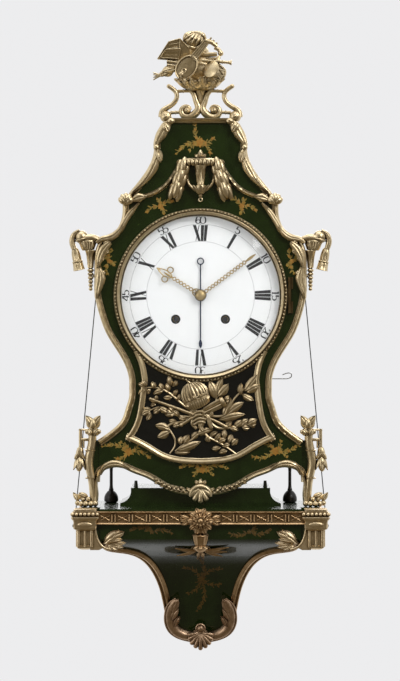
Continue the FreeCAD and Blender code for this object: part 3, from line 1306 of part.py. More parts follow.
@node("alarm_hand")
def alarm_hand():
    front = ALARM_HAND_Y - HAND_T
    bore = HOUR_PIPE_R + RUNNING_FIT
    pipe_back = HOUR_WHEEL_Y - 1.0
    pipe = rod_y(0.0, DIAL_Z, front, pipe_back, ALARM_PIPE_R)
    hub = rod_y(0.0, DIAL_Z, front, ALARM_HAND_Y, 9.0)
    shaft = box(-0.9, 0.9, front, ALARM_HAND_Y, DIAL_Z - ALARM_LENGTH + 12.0, DIAL_Z + ALARM_TAIL - 4.5)
    ring = flat_ring(0.0, DIAL_Z + ALARM_TAIL, 5.5, 1.7, front, ALARM_HAND_Y)
    point = leaf(0.0, DIAL_Z - ALARM_LENGTH, 90.0, 14.0, 5.0, front, ALARM_HAND_Y)
    whole = joined([pipe, hub, shaft, ring, point])
    return whole.cut(rod_y(0.0, DIAL_Z, front, pipe_back, bore))


# Movement

def plate(y0, y1):
    return box(-PLATE_HALF, PLATE_HALF, y0, y1, SEAT_TOP_Z, PLATE_TOP_Z)


def pivot_holes(plate_solid, y0, y1, places):
    for (x, z), radius in places:
        plate_solid = plate_solid.cut(rod_y(x, z, y0, y1, radius + RUNNING_FIT))
    return plate_solid


COMMON_PIVOTS = ((CENTRE, ARBOR_R), (THIRD, PIVOT_R), (ESCAPE, PIVOT_R), (ANCHOR, PIVOT_R),
                 (GOING, BARREL_ARBOR_R), (STRIKE, BARREL_ARBOR_R), (PIN_ARBOR, PIVOT_R), (HAMMER, PIVOT_R))


@node("front_plate")
def front_plate():
    whole = pivot_holes(plate(FRONT_PLATE_Y, INSIDE_FRONT_Y), FRONT_PLATE_Y, INSIDE_FRONT_Y, COMMON_PIVOTS)
    stud = rod_y(MINUTE_STUD[0], MINUTE_STUD[1], HOUR_WHEEL_Y - 1.0, FRONT_PLATE_Y, STUD_R)
    return whole.fuse(stud)


@node("back_plate")
def back_plate():
    whole = pivot_holes(plate(BACK_PLATE_Y, BEHIND_PLATE_Y), BACK_PLATE_Y, BEHIND_PLATE_Y, COMMON_PIVOTS)
    pillars = []
    for x in (PILLAR_INSET - PLATE_HALF, PLATE_HALF - PILLAR_INSET):
        for z in (SEAT_TOP_Z + PILLAR_INSET, PLATE_TOP_Z - PILLAR_INSET):
            pillars.append(rod_y(x, z, INSIDE_FRONT_Y, BACK_PLATE_Y, PILLAR_R))
    half = COCK_W / 2
    eye_half = EYE_T / 2
    tab_y = PENDULUM_Y + eye_half + END_SHAKE
    cock_end = tab_y + COCK_T / 2
    cock = box(-half, half, BEHIND_PLATE_Y, cock_end, ANCHOR[1] + COCK_RISE, ANCHOR[1] + COCK_RISE + COCK_T)
    tab = box(-half, half, tab_y, cock_end, ANCHOR[1] - half, ANCHOR[1] + COCK_RISE + 1.0)
    pin = rod_y(0.0, ANCHOR[1], PENDULUM_Y - 2 * eye_half, tab_y + 1.0, ARBOR_R)
    return joined([whole] + pillars + [cock, tab, pin, bell_stand()])


def barrel(place, wheel_y, wheel):
    """Spring drum with its great wheel, bored to turn on the winding arbor."""
    x, z = place
    bore = BARREL_ARBOR_R + RUNNING_FIT
    drum = rod_y(x, z, DRUM_Y, DRUM_Y + BARREL_DEPTH, BARREL_R)
    hollow = rod_y(x, z, DRUM_Y + BARREL_WALL, DRUM_Y + BARREL_DEPTH - BARREL_WALL, BARREL_R - BARREL_WALL)
    drum = drum.cut(hollow)
    near, far = sorted((wheel_y, DRUM_Y))
    collar_end = DRUM_Y if wheel_y < DRUM_Y else wheel_y
    collar_start = wheel_y if wheel_y < DRUM_Y else DRUM_Y + BARREL_DEPTH
    collar = rod_y(x, z, collar_start, collar_end, BARREL_ARBOR_R + COLLAR_T)
    whole = joined([drum, collar, wheel])
    return whole.cut(rod_y(x, z, near - 1.0, far + BARREL_DEPTH + 9.0, bore))


def going_gears():
    return gear_pair(GOING, CENTRE, GOING_WHEEL_Y, GOING_WHEEL_Y + WHEEL_T, GREAT_MODULE,
                     GREAT_TEETH, CENTRE_PINION_TEETH)


def strike_gears():
    return gear_pair(STRIKE, PIN_ARBOR, STRIKE_WHEEL_Y, STRIKE_WHEEL_Y + WHEEL_T, GREAT_MODULE,
                     GREAT_TEETH, CENTRE_PINION_TEETH)


def third_gears():
    return gear_pair(CENTRE, THIRD, CENTRE_WHEEL_Y, CENTRE_WHEEL_Y + WHEEL_T, THIRD_MODULE,
                     CENTRE_TEETH, THIRD_PINION_TEETH)


def escape_gears():
    return gear_pair(THIRD, ESCAPE, THIRD_WHEEL_Y, THIRD_WHEEL_Y + WHEEL_T, ESCAPE_MODULE,
                     THIRD_TEETH, ESCAPE_PINION_TEETH)


def cannon_gears():
    module = 2 * MOTION_DISTANCE / (CANNON_TEETH + MINUTE_TEETH)
    return gear_pair(CENTRE, MINUTE_STUD, CANNON_Y, CANNON_Y + WHEEL_T, module, CANNON_TEETH, MINUTE_TEETH)


def hour_gears():
    module = 2 * MOTION_DISTANCE / (MINUTE_PINION_TEETH + HOUR_TEETH)
    return gear_pair(MINUTE_STUD, CENTRE, HOUR_WHEEL_Y, HOUR_WHEEL_Y + WHEEL_T, module,
                     MINUTE_PINION_TEETH, HOUR_TEETH)


@node("going_barrel")
def going_barrel():
    return barrel(GOING, GOING_WHEEL_Y, going_gears()[0])


@node("strike_barrel")
def strike_barrel():
    return barrel(STRIKE, STRIKE_WHEEL_Y, strike_gears()[0])


def winding_arbor(place):
    x, z = place
    square_back = FRONT_PLATE_Y - 1.0
    shaft = rod_y(x, z, square_back, BEHIND_PLATE_Y, BARREL_ARBOR_R)
    square = box(x - SQUARE_HALF, x + SQUARE_HALF, DIAL_FRONT_Y + SQUARE_DEEP, square_back, z - SQUARE_HALF,
                 z + SQUARE_HALF)
    return joined([shaft, square])


@node("going_arbor")
def going_arbor():
    return winding_arbor(GOING)


@node("strike_arbor")
def strike_arbor():
    return winding_arbor(STRIKE)


def arbor(place, radius, y0=None, y1=None):
    front = FRONT_PLATE_Y if y0 is None else y0
    back = BEHIND_PLATE_Y if y1 is None else y1
    return rod_y(place[0], place[1], front, back, radius)


@node("center_wheel")
def center_wheel():
    shaft = arbor(CENTRE, ARBOR_R, MINUTE_HAND_Y - HAND_T + END_SHAKE)
    return joined([shaft, going_gears()[1], third_gears()[0]])


@node("third_wheel")
def third_wheel():
    return joined([arbor(THIRD, PIVOT_R), third_gears()[1], escape_gears()[0]])


@node("escape_wheel")
def escape_wheel():
    step = 2 * math.pi / ESCAPE_TEETH
    root_r = 0.82 * ESCAPE_R
    corners = []
    for count in range(ESCAPE_TEETH):
        for radius, share in ((ESCAPE_R, 0.0), (ESCAPE_R, 0.10), (root_r, 0.30), (root_r, 0.92)):
            angle = (count + share) * step
            corners.append(Vector(ESCAPE[0] + radius * math.cos(angle), 0,
                                  ESCAPE[1] + radius * math.sin(angle)))
    disc = slab(Part.Face(Part.makePolygon(corners + corners[:1])), ESCAPE_WHEEL_Y, ESCAPE_WHEEL_Y + ESCAPE_T)
    return joined([arbor(ESCAPE, PIVOT_R), escape_gears()[1], disc])


@node("anchor")
def anchor():
    x, z = ANCHOR
    y0 = ESCAPE_WHEEL_Y - 0.5
    y1 = ESCAPE_WHEEL_Y + ESCAPE_T + 0.5
    reach = ESCAPE_R + PALLET_GAP
    solids = [arbor(ANCHOR, PIVOT_R, None, BEHIND_PLATE_Y + 4.0), rod_y(x, z, y0, y1, 4.0)]
    for side in (-1, 1):
        tip_x = side * reach * math.sin(math.radians(PALLET_BEARING))
        tip_z = ESCAPE[1] + reach * math.cos(math.radians(PALLET_BEARING))
        elbow = (tip_x + side * 2.0, tip_z + 6.0)
        solids.append(rod_flat(x, z, elbow[0], elbow[1], 3.0, y0, y1))
        solids.append(rod_flat(elbow[0], elbow[1] + 1.0, tip_x + side * 1.6, tip_z + 1.0, 2.4, y0, y1))
    crutch_y0 = BEHIND_PLATE_Y + 1.0
    solids.append(box(-2.0, 2.0, crutch_y0, crutch_y0 + 2.0, z - CRUTCH_LENGTH, z))
    fork = ROD_R + 1.2
    for side in (-1, 1):
        solids.append(rod_y(side * fork, z - CRUTCH_LENGTH + 2.0, crutch_y0, PENDULUM_Y + 3.0, 0.9))
    return joined(solids)


@node("pendulum")
def pendulum():
    z = ANCHOR[1]
    eye = rod_y(0.0, z, PENDULUM_Y - EYE_T / 2, PENDULUM_Y + EYE_T / 2, ARBOR_R + EYE_WALL)
    bob_z = z - PENDULUM_LENGTH
    shaft = rod(Vector(0.0, PENDULUM_Y, z - 2.6), Vector(0.0, PENDULUM_Y, bob_z - BOB_R - 14.0), ROD_R)
    edge = 1.5
    profile = [[(BOB_R, -edge), (BOB_R * 0.5, -BOB_T / 2 + 0.8), (0.0, -BOB_T / 2)],
               [(0.0, -BOB_T / 2), (0.0, BOB_T / 2)],
               [(0.0, BOB_T / 2), (BOB_R * 0.5, BOB_T / 2 - 0.8), (BOB_R, edge)],
               [(BOB_R, edge), (BOB_R, -edge)]]
    bob = closed_face(profile, top_plane).revolve(Vector(0, 0, 0), Vector(0, 1, 0), 360)
    bob = bob.translated(Vector(0.0, PENDULUM_Y, bob_z))
    nut = Part.makeCylinder(4.0, 5.0, Vector(0.0, PENDULUM_Y, bob_z - BOB_R - 10.0))
    whole = joined([eye, shaft, bob, nut])
    return whole.cut(rod_y(0.0, z, PENDULUM_Y - 9.0, PENDULUM_Y + 9.0, ARBOR_R + RUNNING_FIT))


@node("cannon_pinion")
def cannon_pinion():
    pipe = rod_y(0.0, DIAL_Z, MINUTE_HAND_Y - HAND_T, CANNON_Y + WHEEL_T, CANNON_R)
    whole = joined([pipe, cannon_gears()[0]])
    return whole.cut(rod_y(0.0, DIAL_Z, FRONT_Y - 20.0, FRONT_PLATE_Y, ARBOR_R + RUNNING_FIT))


@node("minute_wheel")
def minute_wheel():
    x, z = MINUTE_STUD
    hub = rod_y(x, z, HOUR_WHEEL_Y, CANNON_Y + WHEEL_T, STUD_R + HUB_T)
    whole = joined([hub, cannon_gears()[1], hour_gears()[0]])
    return whole.cut(rod_y(x, z, FRONT_Y, FRONT_PLATE_Y, STUD_R + RUNNING_FIT))


@node("hour_wheel")
def hour_wheel():
    pipe = rod_y(0.0, DIAL_Z, HOUR_HAND_Y - HAND_T, HOUR_WHEEL_Y + WHEEL_T, HOUR_PIPE_R)
    whole = joined([pipe, hour_gears()[1]])
    return whole.cut(rod_y(0.0, DIAL_Z, FRONT_Y - 20.0, FRONT_PLATE_Y, CANNON_R + RUNNING_FIT))


@node("strike_pin_wheel")
def strike_pin_wheel():
    x, z = PIN_ARBOR
    rim = rod_y(x, z, PIN_WHEEL_Y, PIN_WHEEL_Y + WHEEL_T, PIN_WHEEL_R)
    pin_circle = PIN_WHEEL_R - PIN_INSET
    pins = []
    for count in range(PIN_COUNT):
        angle = 2 * math.pi * count / PIN_COUNT
        pins.append(rod_y(x + pin_circle * math.cos(angle), z + pin_circle * math.sin(angle),
                          PIN_WHEEL_Y + WHEEL_T, PIN_WHEEL_Y + WHEEL_T + PIN_H, PIN_R))
    return joined([arbor(PIN_ARBOR, PIVOT_R), strike_gears()[1], rim] + pins)


@node("bell")
def bell():
    rim = BELL_RIM_Z
    profile = ((BELL_R, rim), (BELL_R - 4.0, rim + 12.0), (BELL_R - 16.0, rim + BELL_H - 4.0),
               (POST_BORE, rim + BELL_H), (POST_BORE, rim + BELL_H - BELL_T),
               (BELL_R - 17.5, rim + BELL_H - 4.0 - BELL_T), (BELL_R - 4.0 - BELL_T, rim + 11.0),
               (BELL_R - BELL_T, rim))
    return turned(profile, 0.0, BELL_Y)


def bell_stand():
    """Bar over both plates with the post that carries the bell."""
    bar = box(-6.0, 6.0, FRONT_PLATE_Y, BEHIND_PLATE_Y, PLATE_TOP_Z, PLATE_TOP_Z + 4.0)
    base = Vector(0.0, BELL_Y, PLATE_TOP_Z + 2.0)
    under = BELL_RIM_Z + BELL_H - BELL_T - 2 * SEAT_FIT - base.z
    post = Part.makeCylinder(POST_BORE + 1.5, under, base)
    neck = Part.makeCylinder(POST_BORE - RUNNING_FIT, under + BELL_T + 1.0, base)
    nut = Part.makeCylinder(6.0, 5.0, Vector(0.0, BELL_Y, BELL_RIM_Z + BELL_H))
    return joined([bar, post, neck, nut])


@node("hammer")
def hammer():
    x, z = HAMMER
    head_x = -BELL_R - HAMMER_GAP - HAMMER_HEAD_R
    head_z = BELL_RIM_Z + 3.0
    arm = rod(Vector(x, BELL_Y, z), Vector(head_x, BELL_Y, head_z), 1.6)
    head = ball(head_x, BELL_Y, head_z, HAMMER_HEAD_R)
    hub = rod_y(x, z, BELL_Y - 3.0, BELL_Y + 3.0, 4.0)
    return joined([arbor(HAMMER, PIVOT_R), hub, arm, head])


# Pull cords and trip wire

CORD_WAY = Vector(CORD_END[0] - CORD_TOP[0], 0, CORD_END[1] - CORD_TOP[1]).normalize()


def cord_at(z):
    """Point of the right cord at a height."""
    share = (z - CORD_TOP[1]) / (CORD_END[1] - CORD_TOP[1])
    return Vector(CORD_TOP[0] + share * (CORD_END[0] - CORD_TOP[0]), CORD_Y, z)


def pull_cord():
    top = cord_at(CORD_TOP[1])
    end = cord_at(CORD_END[1])
    strand = rod(top, end, CORD_R)
    knot = Part.makeSphere(KNOT_R, top)
    ring = Part.makeTorus(PULL_RING_R, PULL_RING_WIRE_R, end + CORD_WAY * (PULL_RING_R - CORD_R / 2),
                          Vector(0, 1, 0))
    return joined([strand, knot, ring])


@node("repeat_cord_right")
def repeat_cord_right():
    return pull_cord()


@node("repeat_cord_left")
def repeat_cord_left():
    return flip(pull_cord())


@node("cord_guides")
def cord_guides():
    solids = []
    for z in (UPPER_EYE_Z, LOWER_EYE_Z):
        middle = cord_at(z)
        foot = middle - CORD_WAY * (EYE_H / 2)
        eye = Part.makeCylinder(EYE_R, EYE_H, foot, CORD_WAY)
        if z > 0:
            seat = Vector(BELLY_HALF - EYE_FOOT_INSET, BACK_Y - BACK_T / 2, z)
        else:
            seat = Vector(SHELF_HALF + BAND_T, middle.y, z)
        bore = Part.makeCylinder(CORD_R + EYE_GAP, 6 * EYE_H, middle - CORD_WAY * (3 * EYE_H), CORD_WAY)
        solids.append(eye.fuse(rod(middle, seat, EYE_SHANK_R)).cut(bore))
    return pair(Part.makeCompound(solids).cut(case_back_board()))


@node("strike_trip_wire")
def strike_trip_wire():
    start = WAIST_HALF - WIRE_TAIL
    end = WAIST_HALF + WIRE_REACH
    points = [Vector(start, WIRE_Y, WIRE_Z), Vector(end - WIRE_BEND, WIRE_Y, WIRE_Z),
              Vector(end, WIRE_Y, WIRE_Z + 0.4 * WIRE_BEND), Vector(end, WIRE_Y, WIRE_Z + 1.4 * WIRE_BEND),
              Vector(end - WIRE_BEND, WIRE_Y, WIRE_Z + 1.5 * WIRE_BEND),
              Vector(end - 2.3 * WIRE_BEND, WIRE_Y, WIRE_Z + WIRE_BEND)]
    return tube(points, WIRE_R)


os.makedirs("parts", exist_ok=True)
for piece_name, make_piece in NODES.items():
    make_piece().exportStep("parts/" + piece_name + ".step")
print(len(NODES), "pieces written")
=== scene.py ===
"""A waisted bracket clock on its wall console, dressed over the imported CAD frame.

Shapes are worked out in millimetres and become metres when a piece is made.
X runs to the right seen from the front, Y into the wall and Z up, and the origin lies on the
wall plane, level with the top of the console's shelf. The front therefore faces -Y.
"""

from math import asin, atan2, ceil, cos, dist, exp, hypot, pi, radians, sin, sqrt

import bmesh
import bpy
import numpy as np
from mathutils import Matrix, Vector


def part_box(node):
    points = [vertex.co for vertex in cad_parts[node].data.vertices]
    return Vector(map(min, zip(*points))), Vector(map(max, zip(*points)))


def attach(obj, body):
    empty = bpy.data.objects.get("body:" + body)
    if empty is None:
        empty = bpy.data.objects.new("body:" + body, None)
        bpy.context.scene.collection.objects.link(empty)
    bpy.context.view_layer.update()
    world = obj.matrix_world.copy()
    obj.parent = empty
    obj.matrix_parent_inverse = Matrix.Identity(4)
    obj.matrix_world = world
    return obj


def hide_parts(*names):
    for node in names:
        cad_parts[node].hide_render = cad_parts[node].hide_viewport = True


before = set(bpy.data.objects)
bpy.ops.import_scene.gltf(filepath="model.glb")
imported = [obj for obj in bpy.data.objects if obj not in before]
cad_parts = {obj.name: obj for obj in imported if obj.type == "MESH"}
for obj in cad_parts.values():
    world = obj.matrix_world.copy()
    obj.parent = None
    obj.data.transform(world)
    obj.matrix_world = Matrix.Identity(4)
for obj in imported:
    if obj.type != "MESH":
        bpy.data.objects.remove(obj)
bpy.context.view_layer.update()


def vec(x, y, z):
    return np.array((x, y, z), float)


MM = 0.001
TURN = 2 * pi
OUT, RIGHT, UP = vec(0, -1, 0), vec(1, 0, 0), vec(0, 0, 1)

# Depths from the wall, and the dial's height
FRONT_Y, DIAL_FACE_Y, PANEL_Y = -125.0, -116.8, -129.0
DIAL_Z = 317.0

# Pitch of the points on curves: of the outlines, and of small castings
OUTLINE_STEP, DOOR_STEP, CONSOLE_STEP, CAST_STEP = 1.6, 2.0, 1.0, 1.5


class Shape:
    """The points and faces of one piece, gathered from many small forms."""

    def __init__(self):
        self.points = []
        self.faces = []

    def loft(self, loops, caps=True):
        """A skin over closed loops of equal count, with its two ends filled."""
        start, count = len(self.points), len(loops[0])
        for loop in loops:
            self.points.extend(tuple(p) for p in loop)
        for row in range(len(loops) - 1):
            a = start + row * count
            for k in range(count):
                n = (k + 1) % count
                self.faces.append((a + k, a + n, a + count + n, a + count + k))
        if caps:
            last = start + (len(loops) - 1) * count
            self.faces.append(tuple(range(start + count - 1, start - 1, -1)))
            self.faces.append(tuple(range(last, last + count)))

    def closed_loft(self, loops):
        """A skin over closed loops that comes back to its first loop, such as a ring."""
        self.loft(list(loops) + [loops[0]], caps=False)

    def prism(self, outline, thickness, out=OUT):
        """A flat plate with that outline, standing thickness proud along out."""
        back = np.array(outline, float)
        self.loft([back, back + unit(out) * thickness])

    def tube(self, path, radius, sides=10):
        """A round bar along a path; radius is a number or one for each point."""
        path = np.array(path, float)
        radii = np.broadcast_to(np.array(radius, float), len(path))
        self.loft([
            [p + r * around(u, v, a) for a in angles(sides)]
            for p, r, (u, v) in zip(path, radii, frames(path))
        ])

    def ring(self, centre, normal, radius, thickness, sides=24, round_sides=8):
        """A round wire ring."""
        n = unit(normal)
        u, v = across(n)
        self.closed_loft([
            [np.array(centre) + around(u, v, a) * (radius + thickness * cos(b)) + n * thickness * sin(b)
             for b in angles(round_sides)]
            for a in angles(sides)
        ])

    def lathe(self, origin, axis, profile, sides=24, flutes=0, depth=0.0, fluted=(0, 0)):
        """A turned form: profile gives (radius, height); flutes are cut over a range of heights."""
        axis = unit(axis)
        u, v = across(axis)
        loops = []
        for radius, height in profile:
            cut = depth if fluted[0] <= height <= fluted[1] else 0.0
            loops.append([
                np.array(origin) + axis * height
                + (radius - cut * (0.5 + 0.5 * cos(flutes * a))) * around(u, v, a)
                for a in angles(sides)
            ])
        self.loft(loops)

    def ball(self, centre, radius, stretch=(1, 1, 1), sides=14, rows=9):
        """A ball, or an egg where stretch differs by axis."""
        loops = []
        for row in range(rows + 1):
            polar = pi * (0.02 + 0.96 * row / rows)
            loops.append([
                np.array(centre) + radius * np.array(stretch) * (
                    sin(polar) * cos(a),
                    sin(polar) * sin(a),
                    cos(polar),
                )
                for a in angles(sides)
            ])
        self.loft(loops)

    def leaf(self, base, tip, width, rise, out=OUT, bend=0.0, curl=0.0, lobes=0, back=0.6):
        """A cast leaf from base to tip: crowned, with a grooved midrib, and lobed where asked.
        bend pushes its middle sideways and curl lifts its tip away from the surface beneath."""
        base, tip = np.array(base, float), np.array(tip, float)
        along, out = tip - base, unit(out)
        side = unit(np.cross(along, out))
        steps = 8 + 4 * lobes
        loops = []
        for k in range(steps + 1):
            t = k / steps
            swell = max(sin(pi * t**0.85), 0.0) ** 0.75
            if lobes:
                swell *= 0.72 + 0.28 * abs(cos(pi * lobes * t))
            half = max(width / 2 * swell, 0.04 * width * (1 - t) + 0.02)
            middle = base + along * t + side * bend * sin(pi * t) + out * curl * t**3
            loop = []
            for s in (-1, -0.72, -0.4, -0.14, 0, 0.14, 0.4, 0.72, 1):
                crown = rise * (1 - s * s) * (0.35 + 0.65 * sin(pi * min(t + 0.12, 1)))
                groove = 0.3 * rise * exp(-((s / 0.16) ** 2))
                loop.append(middle + side * half * s + out * (crown - groove))
            for s in (0.5, -0.5):
                loop.append(middle + side * half * s - out * back)
            loops.append(loop)
        self.loft(loops)

    def moulding(self, path, profile, out=OUT, pattern=None):
        """A moulding along a path: profile gives (across, height) points, across measured to the
        left of travel seen from the front. pattern(distance, across) scales the heights."""
        path = np.array(path, float)
        outs = np.broadcast_to(np.array(out, float), path.shape)
        loops = []
        for p, t, o, s in zip(path, directions(path), outs, distances(path)):
            side = unit(np.cross(t, o))
            loops.append([
                p - side * a + unit(o) * (h * (pattern(s, a) if pattern and h > 0.5 else 1.0))
                for a, h in profile
            ])
        self.loft(loops)

    def mirrored(self):
        """Adds the same forms again on the other side of the clock."""
        start = len(self.points)
        self.points.extend([(-x, y, z) for x, y, z in self.points[:start]])
        self.faces.extend([tuple(start + k for k in reversed(f)) for f in self.faces[:]])


def unit(v):
    v = np.array(v, float)
    return v / np.linalg.norm(v)


def angles(count, start=0.0, sweep=TURN):
    return [start + sweep * k / count for k in range(count)]


def across(axis):
    """Two directions square to an axis and to each other."""
    helper = UP if abs(axis[2]) < 0.9 else RIGHT
    u = unit(np.cross(axis, helper))
    return u, np.cross(axis, u)


def around(u, v, a):
    """The direction at an angle in the plane of two directions."""
    return cos(a) * u + sin(a) * v


def directions(path):
    """The direction of travel at each point of a path."""
    ahead = np.gradient(np.array(path, float), axis=0)
    return ahead / np.linalg.norm(ahead, axis=1)[:, None]


def distances(path):
    """How far along the path each of its points lies."""
    return np.concatenate(([0.0], np.cumsum(np.linalg.norm(np.diff(path, axis=0), axis=1))))


def frames(path):
    """Two directions square to the path at each point, carried along without twist."""
    found, (u, v) = [], across(directions(path)[0])
    for t in directions(path):
        u = unit(u - t * np.dot(u, t))
        found.append((u, np.cross(t, u)))
    return found


def spline(points, step):
    """Points about step apart on the smooth curve through the given ones."""
    p = np.array(points, float)
    knots = distances(p)
    gaps = np.diff(knots)
    count = len(p)
    matrix, right = np.eye(count), np.zeros_like(p)
    for i in range(1, count - 1):
        matrix[i, i - 1:i + 2] = gaps[i - 1], 2 * (gaps[i - 1] + gaps[i]), gaps[i]
        right[i] = 6 * ((p[i + 1] - p[i]) / gaps[i] - (p[i] - p[i - 1]) / gaps[i - 1])
    bends = np.linalg.solve(matrix, right)
    at = np.linspace(0, knots[-1], max(2, ceil(knots[-1] / step)) + 1)
    k = np.clip(np.searchsorted(knots, at, side="right") - 1, 0, count - 2)
    a = ((knots[k + 1] - at) / gaps[k])[:, None]
    b = 1 - a
    curve = a * p[k] + b * p[k + 1]
    return curve + ((a**3 - a) * bends[k] + (b**3 - b) * bends[k + 1]) * gaps[k][:, None] ** 2 / 6


def between(start, end, shares):
    """Points from start to end; each share is (of the height, of the width) travelled."""
    (x0, z0), (x1, z1) = start, end
    inner = [(x0 + w * (x1 - x0), z0 + h * (z1 - z0)) for h, w in shares]
    return [start, *inner, end]


def at_depth(points, y):
    """Points (x, z) of the front drawing, placed at one depth."""
    return [(x, y, z) for x, z in points]


def both_halves(points):
    """A line from the right end to the middle, doubled to run from the left end to the right."""
    return [(-x, z) for x, z in points] + list(reversed(points))[1:]


def placed(name, data):
    """A new object in the scene."""
    thing = bpy.data.objects.new(name, data)
    bpy.context.scene.collection.objects.link(thing)
    return thing


WELD = 0.01


def make(name, shape, finish, body="case", stands_for=(), sharp=40):
    """Turns a shape into a piece that rides on a body. stands_for lists the nodes it is shown in
    place of, and edges bent by more than sharp degrees stay crisp."""
    mesh = bpy.data.meshes.new(name)
    mesh.from_pydata([Vector(p) * MM for p in shape.points], [], shape.faces)
    work = bmesh.new()
    work.from_mesh(mesh)
    bmesh.ops.remove_doubles(work, verts=work.verts, dist=WELD * MM)
    bmesh.ops.dissolve_degenerate(work, edges=work.edges, dist=WELD / 2 * MM)
    bmesh.ops.recalc_face_normals(work, faces=work.faces)
    work.to_mesh(mesh)
    work.free()
    mesh.shade_smooth()
    mesh.set_sharp_from_angle(angle=radians(sharp))
    mesh.materials.append(finish.material)
    piece = placed(name, mesh)
    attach(piece, body)
    if stands_for:
        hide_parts(*stands_for)
    return piece


class Nodes:
    """A shader's node tree, and short ways to build in it."""

    def __init__(self, tree):
        self.tree = tree

    def add(self, kind, inputs=(), **settings):
        node = self.tree.nodes.new(kind)
        for key, value in settings.items():
            setattr(node, key, value)
        for key, value in dict(inputs).items():
            if isinstance(value, bpy.types.NodeSocket):
                self.tree.links.new(value, node.inputs[key])
            else:
                node.inputs[key].default_value = value
        return node

    def mix(self, factor, a, b, blend="MIX"):
        node = self.add("ShaderNodeMix", {0: factor, 6: a, 7: b}, data_type="RGBA", blend_type=blend)
        return node.outputs[2]


class Finish(Nodes):
    """A node material: one Principled shader and the textures that drive it."""

    def __init__(self, name, **values):
        self.material = bpy.data.materials.new(name)
        self.material.use_nodes = True
        super().__init__(self.material.node_tree)
        self.shader = self.tree.nodes["Principled BSDF"]
        self.where = self.add("ShaderNodeTexCoord").outputs["Object"]
        for socket, value in values.items():
            self.shader.inputs[socket.replace("_", " ")].default_value = value

    def drive(self, socket, output):
        self.tree.links.new(output, self.shader.inputs[socket])

    def stretched(self, scale):
        return self.add("ShaderNodeMapping", {"Vector": self.where, "Scale": scale}).outputs[0]

    def noise(self, scale, detail=4.0, rough=0.55, where=None, warp=0.0):
        return self.add("ShaderNodeTexNoise", {
            "Vector": where or self.where, "Scale": scale, "Detail": detail,
            "Roughness": rough, "Distortion": warp,
        }).outputs["Fac"]

    def cracks(self, scale):
        """Low in the lines between small cells, high inside them."""
        return self.add("ShaderNodeTexVoronoi", {"Vector": self.where, "Scale": scale},
                        feature="DISTANCE_TO_EDGE").outputs["Distance"]

    def hollows(self, distance):
        """Low where neighbouring surfaces crowd in; gilding darkens these recesses with it as painted
        shade.
        """
        return self.add("ShaderNodeAmbientOcclusion", {"Distance": distance},
                        samples=6).outputs["AO"]

    def ramp(self, factor, *stops):
        """A colour or grey ramp; each stop is (position, colour or value)."""
        node = self.add("ShaderNodeValToRGB", {"Fac": factor})
        elements = node.color_ramp.elements
        while len(elements) < len(stops):
            elements.new(0.5)
        for element, (position, colour) in zip(elements, stops):
            element.position = position
            if isinstance(colour, (int, float)):
                colour = (colour,) * 3
            element.color = (*colour, 1)
        return node.outputs["Color"]

    def multiply(self, a, b):
        return self.add("ShaderNodeMath", {0: a, 1: b}, operation="MULTIPLY").outputs[0]

    def bump(self, height, depth, strength):
        node = self.add("ShaderNodeBump", {
            "Height": height, "Distance": depth * MM, "Strength": strength,
        })
        self.drive("Normal", node.outputs["Normal"])


def lacquer(name, deep, clear, worn):
    """Old gloss lacquer: clouded colour, fine crazing, rubbed gloss and browned patches at random."""
    f = Finish(name, IOR=1.5, Specular_IOR_Level=0.2, Coat_Weight=0.8, Coat_Roughness=0.05)
    cloud = f.ramp(f.noise(26, 5, 0.6, warp=0.8), (0.36, deep), (0.68, clear))
    rubbed = f.ramp(f.noise(9, 6, 0.62), (0.62, 0.0), (0.78, 0.5))
    f.drive("Base Color", f.mix(rubbed, cloud, (*worn, 1)))
    f.drive("Roughness", f.ramp(f.noise(70, 5), (0.3, 0.16), (0.75, 0.34)))
    lines = f.ramp(f.cracks(230), (0.0, 0.55), (0.05, 1.0))
    f.bump(f.mix(0.3, lines, f.noise(340, 3)), 0.12, 0.35)
    return f


def gilding(name, bright, dull, shade_and_patina, polish):
    """Fire-gilt bronze: tone and polish vary at random; recesses are darkened as painted shade, partly
    dark patina.
    """
    f = Finish(name, Metallic=1.0)
    tone = f.ramp(f.noise(120, 5, 0.6), (0.3, dull), (0.62, bright))
    # Painted shade: the colour darkens towards the third colour where neighbouring surfaces crowd in,
    # partly standing for dark patina in the recesses.
    depth = f.ramp(f.hollows(5 * MM), (0.3, 0.0), (0.92, 1.0))
    f.drive("Base Color", f.mix(depth, (*shade_and_patina, 1), tone))
    wear = f.noise(420, 4, 0.6)
    f.drive("Roughness", f.ramp(wear, (0.3, polish), (0.7, polish + 0.2)))
    f.bump(f.mix(0.4, f.noise(240, 4, 0.6), f.noise(900, 3)), 0.5, 0.45)
    return f


def wood(name, dark, light, rough):
    """Plain timber with its grain up the board."""
    f = Finish(name, IOR=1.45)
    grain = f.noise(1, 8, 0.66, f.stretched((160, 160, 9)), 0.6)
    pores = f.noise(1, 3, 0.6, f.stretched((900, 900, 40)))
    f.drive("Base Color", f.mix(f.multiply(pores, 0.5),
                                f.ramp(grain, (0.3, dark), (0.7, light)), (*dark, 1)))
    f.drive("Roughness", f.ramp(grain, (0.3, rough), (0.8, rough + 0.2)))
    f.bump(pores, 0.2, 0.4)
    return f


def metal(name, dark, light, polish):
    """Finished metal with the fine lines of the file or the lathe."""
    f = Finish(name, Metallic=1.0)
    f.drive("Base Color", f.ramp(f.noise(60, 5, 0.6), (0.3, dark), (0.7, light)))
    scratch = f.noise(1, 4, 0.6, f.stretched((500, 500, 40)))
    f.drive("Roughness", f.ramp(scratch, (0.25, polish), (0.8, polish + 0.16)))
    f.bump(scratch, 0.05, 0.3)
    return f


